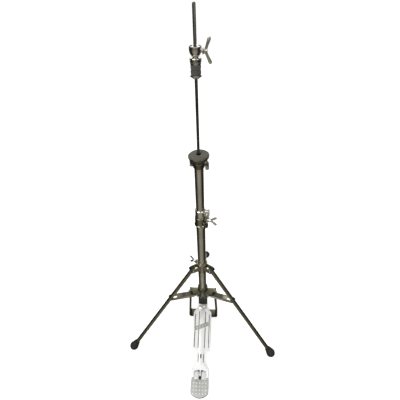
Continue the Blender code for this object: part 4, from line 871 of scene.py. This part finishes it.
slot_side = [(0.0022, 0.049), (0.0022, 0.058), (0.0012, 0.0602)]
slot_side = [(0.0012, 0.0468)] + slot_side
neck_slot = plate("neck_slot", slot_side + [(-x, y) for x, y in reversed(slot_side)],
                  -0.01, 0.02)
weld(board, neck_slot, operation="DIFFERENCE")
print("footboard plate:", len(board.data.polygons), "faces")

# %% [markdown]
# The grip band crosses the board at a slant. It is a low parallelogram with a row of
# leaning ridges on it, one ridge modelled and the rest copied along the band. The band
# is plain: a maker would put a name here, and this one only has the ridges.

# %% Grip band, hinge ears and toe lip
BAND_AT, BAND_RISE, BAND_HALF = 0.1470, 0.36, 0.0065
BAND_TOP = BOARD_TOP + RAISED + 0.0008


def band_point(x, y):
    return (x, BAND_AT + BAND_RISE * x + y)


band = plate("band", [band_point(-0.025, -BAND_HALF), band_point(0.027, -BAND_HALF),
                      band_point(0.025, BAND_HALF), band_point(-0.027, BAND_HALF)],
             ROOT, BAND_TOP)
weld(board, soften(band, 0.0006))
for i in range(9):
    x = -0.0215 + i * 0.0054
    ridge = plate("ridge", [band_point(x - 0.0008, -0.0045), band_point(x + 0.0010, -0.0045),
                            band_point(x + 0.0026, 0.0045), band_point(x + 0.0008, 0.0045)],
                  BAND_TOP - 0.0006, BAND_TOP + 0.0012)
    weld(board, ridge)

ON_EDGE = Matrix(((0, 0, 1, 0), (1, 0, 0, 0), (0, 1, 0, 0), (0, 0, 0, 1)))


def knuckle_outline(root, middle, radius, steps=10):
    """A bar on edge: square at root and round about middle."""
    side = 1.0 if middle < root else -1.0
    points = [(root, -radius * side), (root, radius * side)]
    for i in range(steps + 1):
        angle = QUARTER + math.pi * i / steps
        points.append((middle + side * radius * math.cos(angle),
                       side * radius * math.sin(angle)))
    return points


for low, high, middle, radius in ((-0.0284, -0.020, -0.0067, 0.005),
                                  (0.020, 0.0284, -0.0067, 0.005),
                                  (-0.0025, 0.0025, -0.0025, 0.0042)):
    ear = plate("ear", knuckle_outline(0.0158, middle, radius), low, high, ON_EDGE)
    weld(board, soften(ear, 0.0006))
crossbar = bar("crossbar", (-0.0282, 0.0131, -0.0046), (0.0282, 0.0188, 0.0047))
weld(board, soften(crossbar, 0.0008))
lip = bar("lip", (-0.016, 0.2262, ROOT), (0.016, 0.2288, BOARD_TOP + RAISED))
weld(board, soften(lip, 0.0007))
board.data.transform(BOARD)
hand_over(board, "cast_alloy", "footboard")
print("footboard:", len(board.data.polygons), "faces")

# %% [markdown]
# ## The heel plate
# The heel is the same casting metal, low and round at the back, with rows of studs that
# stop a shoe from sliding. One stud is turned and copied to every place, each copy with
# its own mesh, and all of them are welded on together.

# %% Heel plate
HEEL_TOP, STUD_PITCH = 0.0105, 0.010
HEEL_HALF, HEEL_FRONT, HEEL_BACK, HEEL_BOW = 0.0285, -0.231, -0.282, 0.014
bow_r = (HEEL_HALF ** 2 + HEEL_BOW ** 2) / (2 * HEEL_BOW)
spread = math.asin(HEEL_HALF / bow_r)
heel_outline = [(HEEL_HALF, HEEL_FRONT), (-HEEL_HALF, HEEL_FRONT)]
for i in range(25):
    angle = -QUARTER - spread + 2 * spread * i / 24
    heel_outline.append((bow_r * math.cos(angle), HEEL_BACK + bow_r + bow_r * math.sin(angle)))
heel = plate("heel_plate_piece", heel_outline, 0.0004, HEEL_TOP)
soften(heel, 0.0015, 3)
stud = turned("stud", [(0.0026, HEEL_TOP - 0.001), (0.0025, HEEL_TOP + 0.0008),
                       (0.0020, HEEL_TOP + 0.0015), (0.0010, HEEL_TOP + 0.0018)], 12)
studs = []
for row in range(4):
    for column in range(-2, 3):
        copy = bpy.data.objects.new("stud_copy", stud.data.copy())
        bpy.context.scene.collection.objects.link(copy)
        copy.data.transform(Matrix.Translation((column * STUD_PITCH,
                                                -0.2415 - row * STUD_PITCH, 0)))
        studs.append(copy)
bpy.data.objects.remove(stud, do_unlink=True)
let_go()
for copy in studs:
    copy.select_set(True)
bpy.context.view_layer.objects.active = studs[0]
bpy.ops.object.join()
weld(heel, studs[0])
for low, high in ((-0.019, -0.0045), (0.0045, 0.019)):
    tongue = plate("tongue", knuckle_outline(-0.0148, 0.006, 0.005), low, high,
                   Matrix.Translation(HINGE) @ ON_EDGE)
    weld(heel, soften(tongue, 0.0006))
recess = bar("recess", (-0.0183, -0.2503, -0.004), (0.0183, -0.19, 0.0037))
weld(heel, recess, operation="DIFFERENCE")
hand_over(heel, "heel_alloy", "heel_plate", slot="cast_alloy")
print("heel plate:", len(heel.data.polygons), "faces")

# %% [markdown]
# Two small rivets hold the strap's folded end under the yoke. They are domes, set on
# the face of the strap, so their place follows the strap's own lean.

# %% Strap rivets
STRAP_PIN = Vector((0, 0, 0.131))
STRAP_LEAN = -math.asin(0.0089 / 0.0439)
for name, x in (("left", -0.007), ("right", 0.007)):
    place = (Matrix.Translation(STRAP_PIN) @ Matrix.Rotation(STRAP_LEAN, 4, "X")
             @ Matrix.Translation((x, -0.0010, -0.012)) @ STAND)
    rivet = turned("strap_rivet_" + name, [(0.0022, -0.0004), (0.0022, 0.0004),
                                           (0.0016, 0.0008), (0.0007, 0.0010)], 20, place)
    hand_over(rivet, "hardware_chrome", body="strap")

# %% [markdown]
# ## Pieces kept as solids
# What hides inside the tubes, and the return spring, which has to stretch with the rod,
# stays as it came. Only its material is changed.

# %% Carried-over solids
KEPT = {"return_spring": "spring_steel", "spring_seat": "nylon", "spring_cap": "nylon",
        "rod_coupler": "leg_steel", "clamp_bush": "nylon", "rod_guide_bush": "nylon"}
for node, slot in KEPT.items():
    solid = frame["nodes"][node]
    solid.data.materials.clear()
    solid.data.materials.append(FINISHES[slot])
left = [name for name, solid in frame["nodes"].items()
        if not solid.hide_render and name not in KEPT]
print("pieces made:", len(MADE), "solids without a finish:", left)
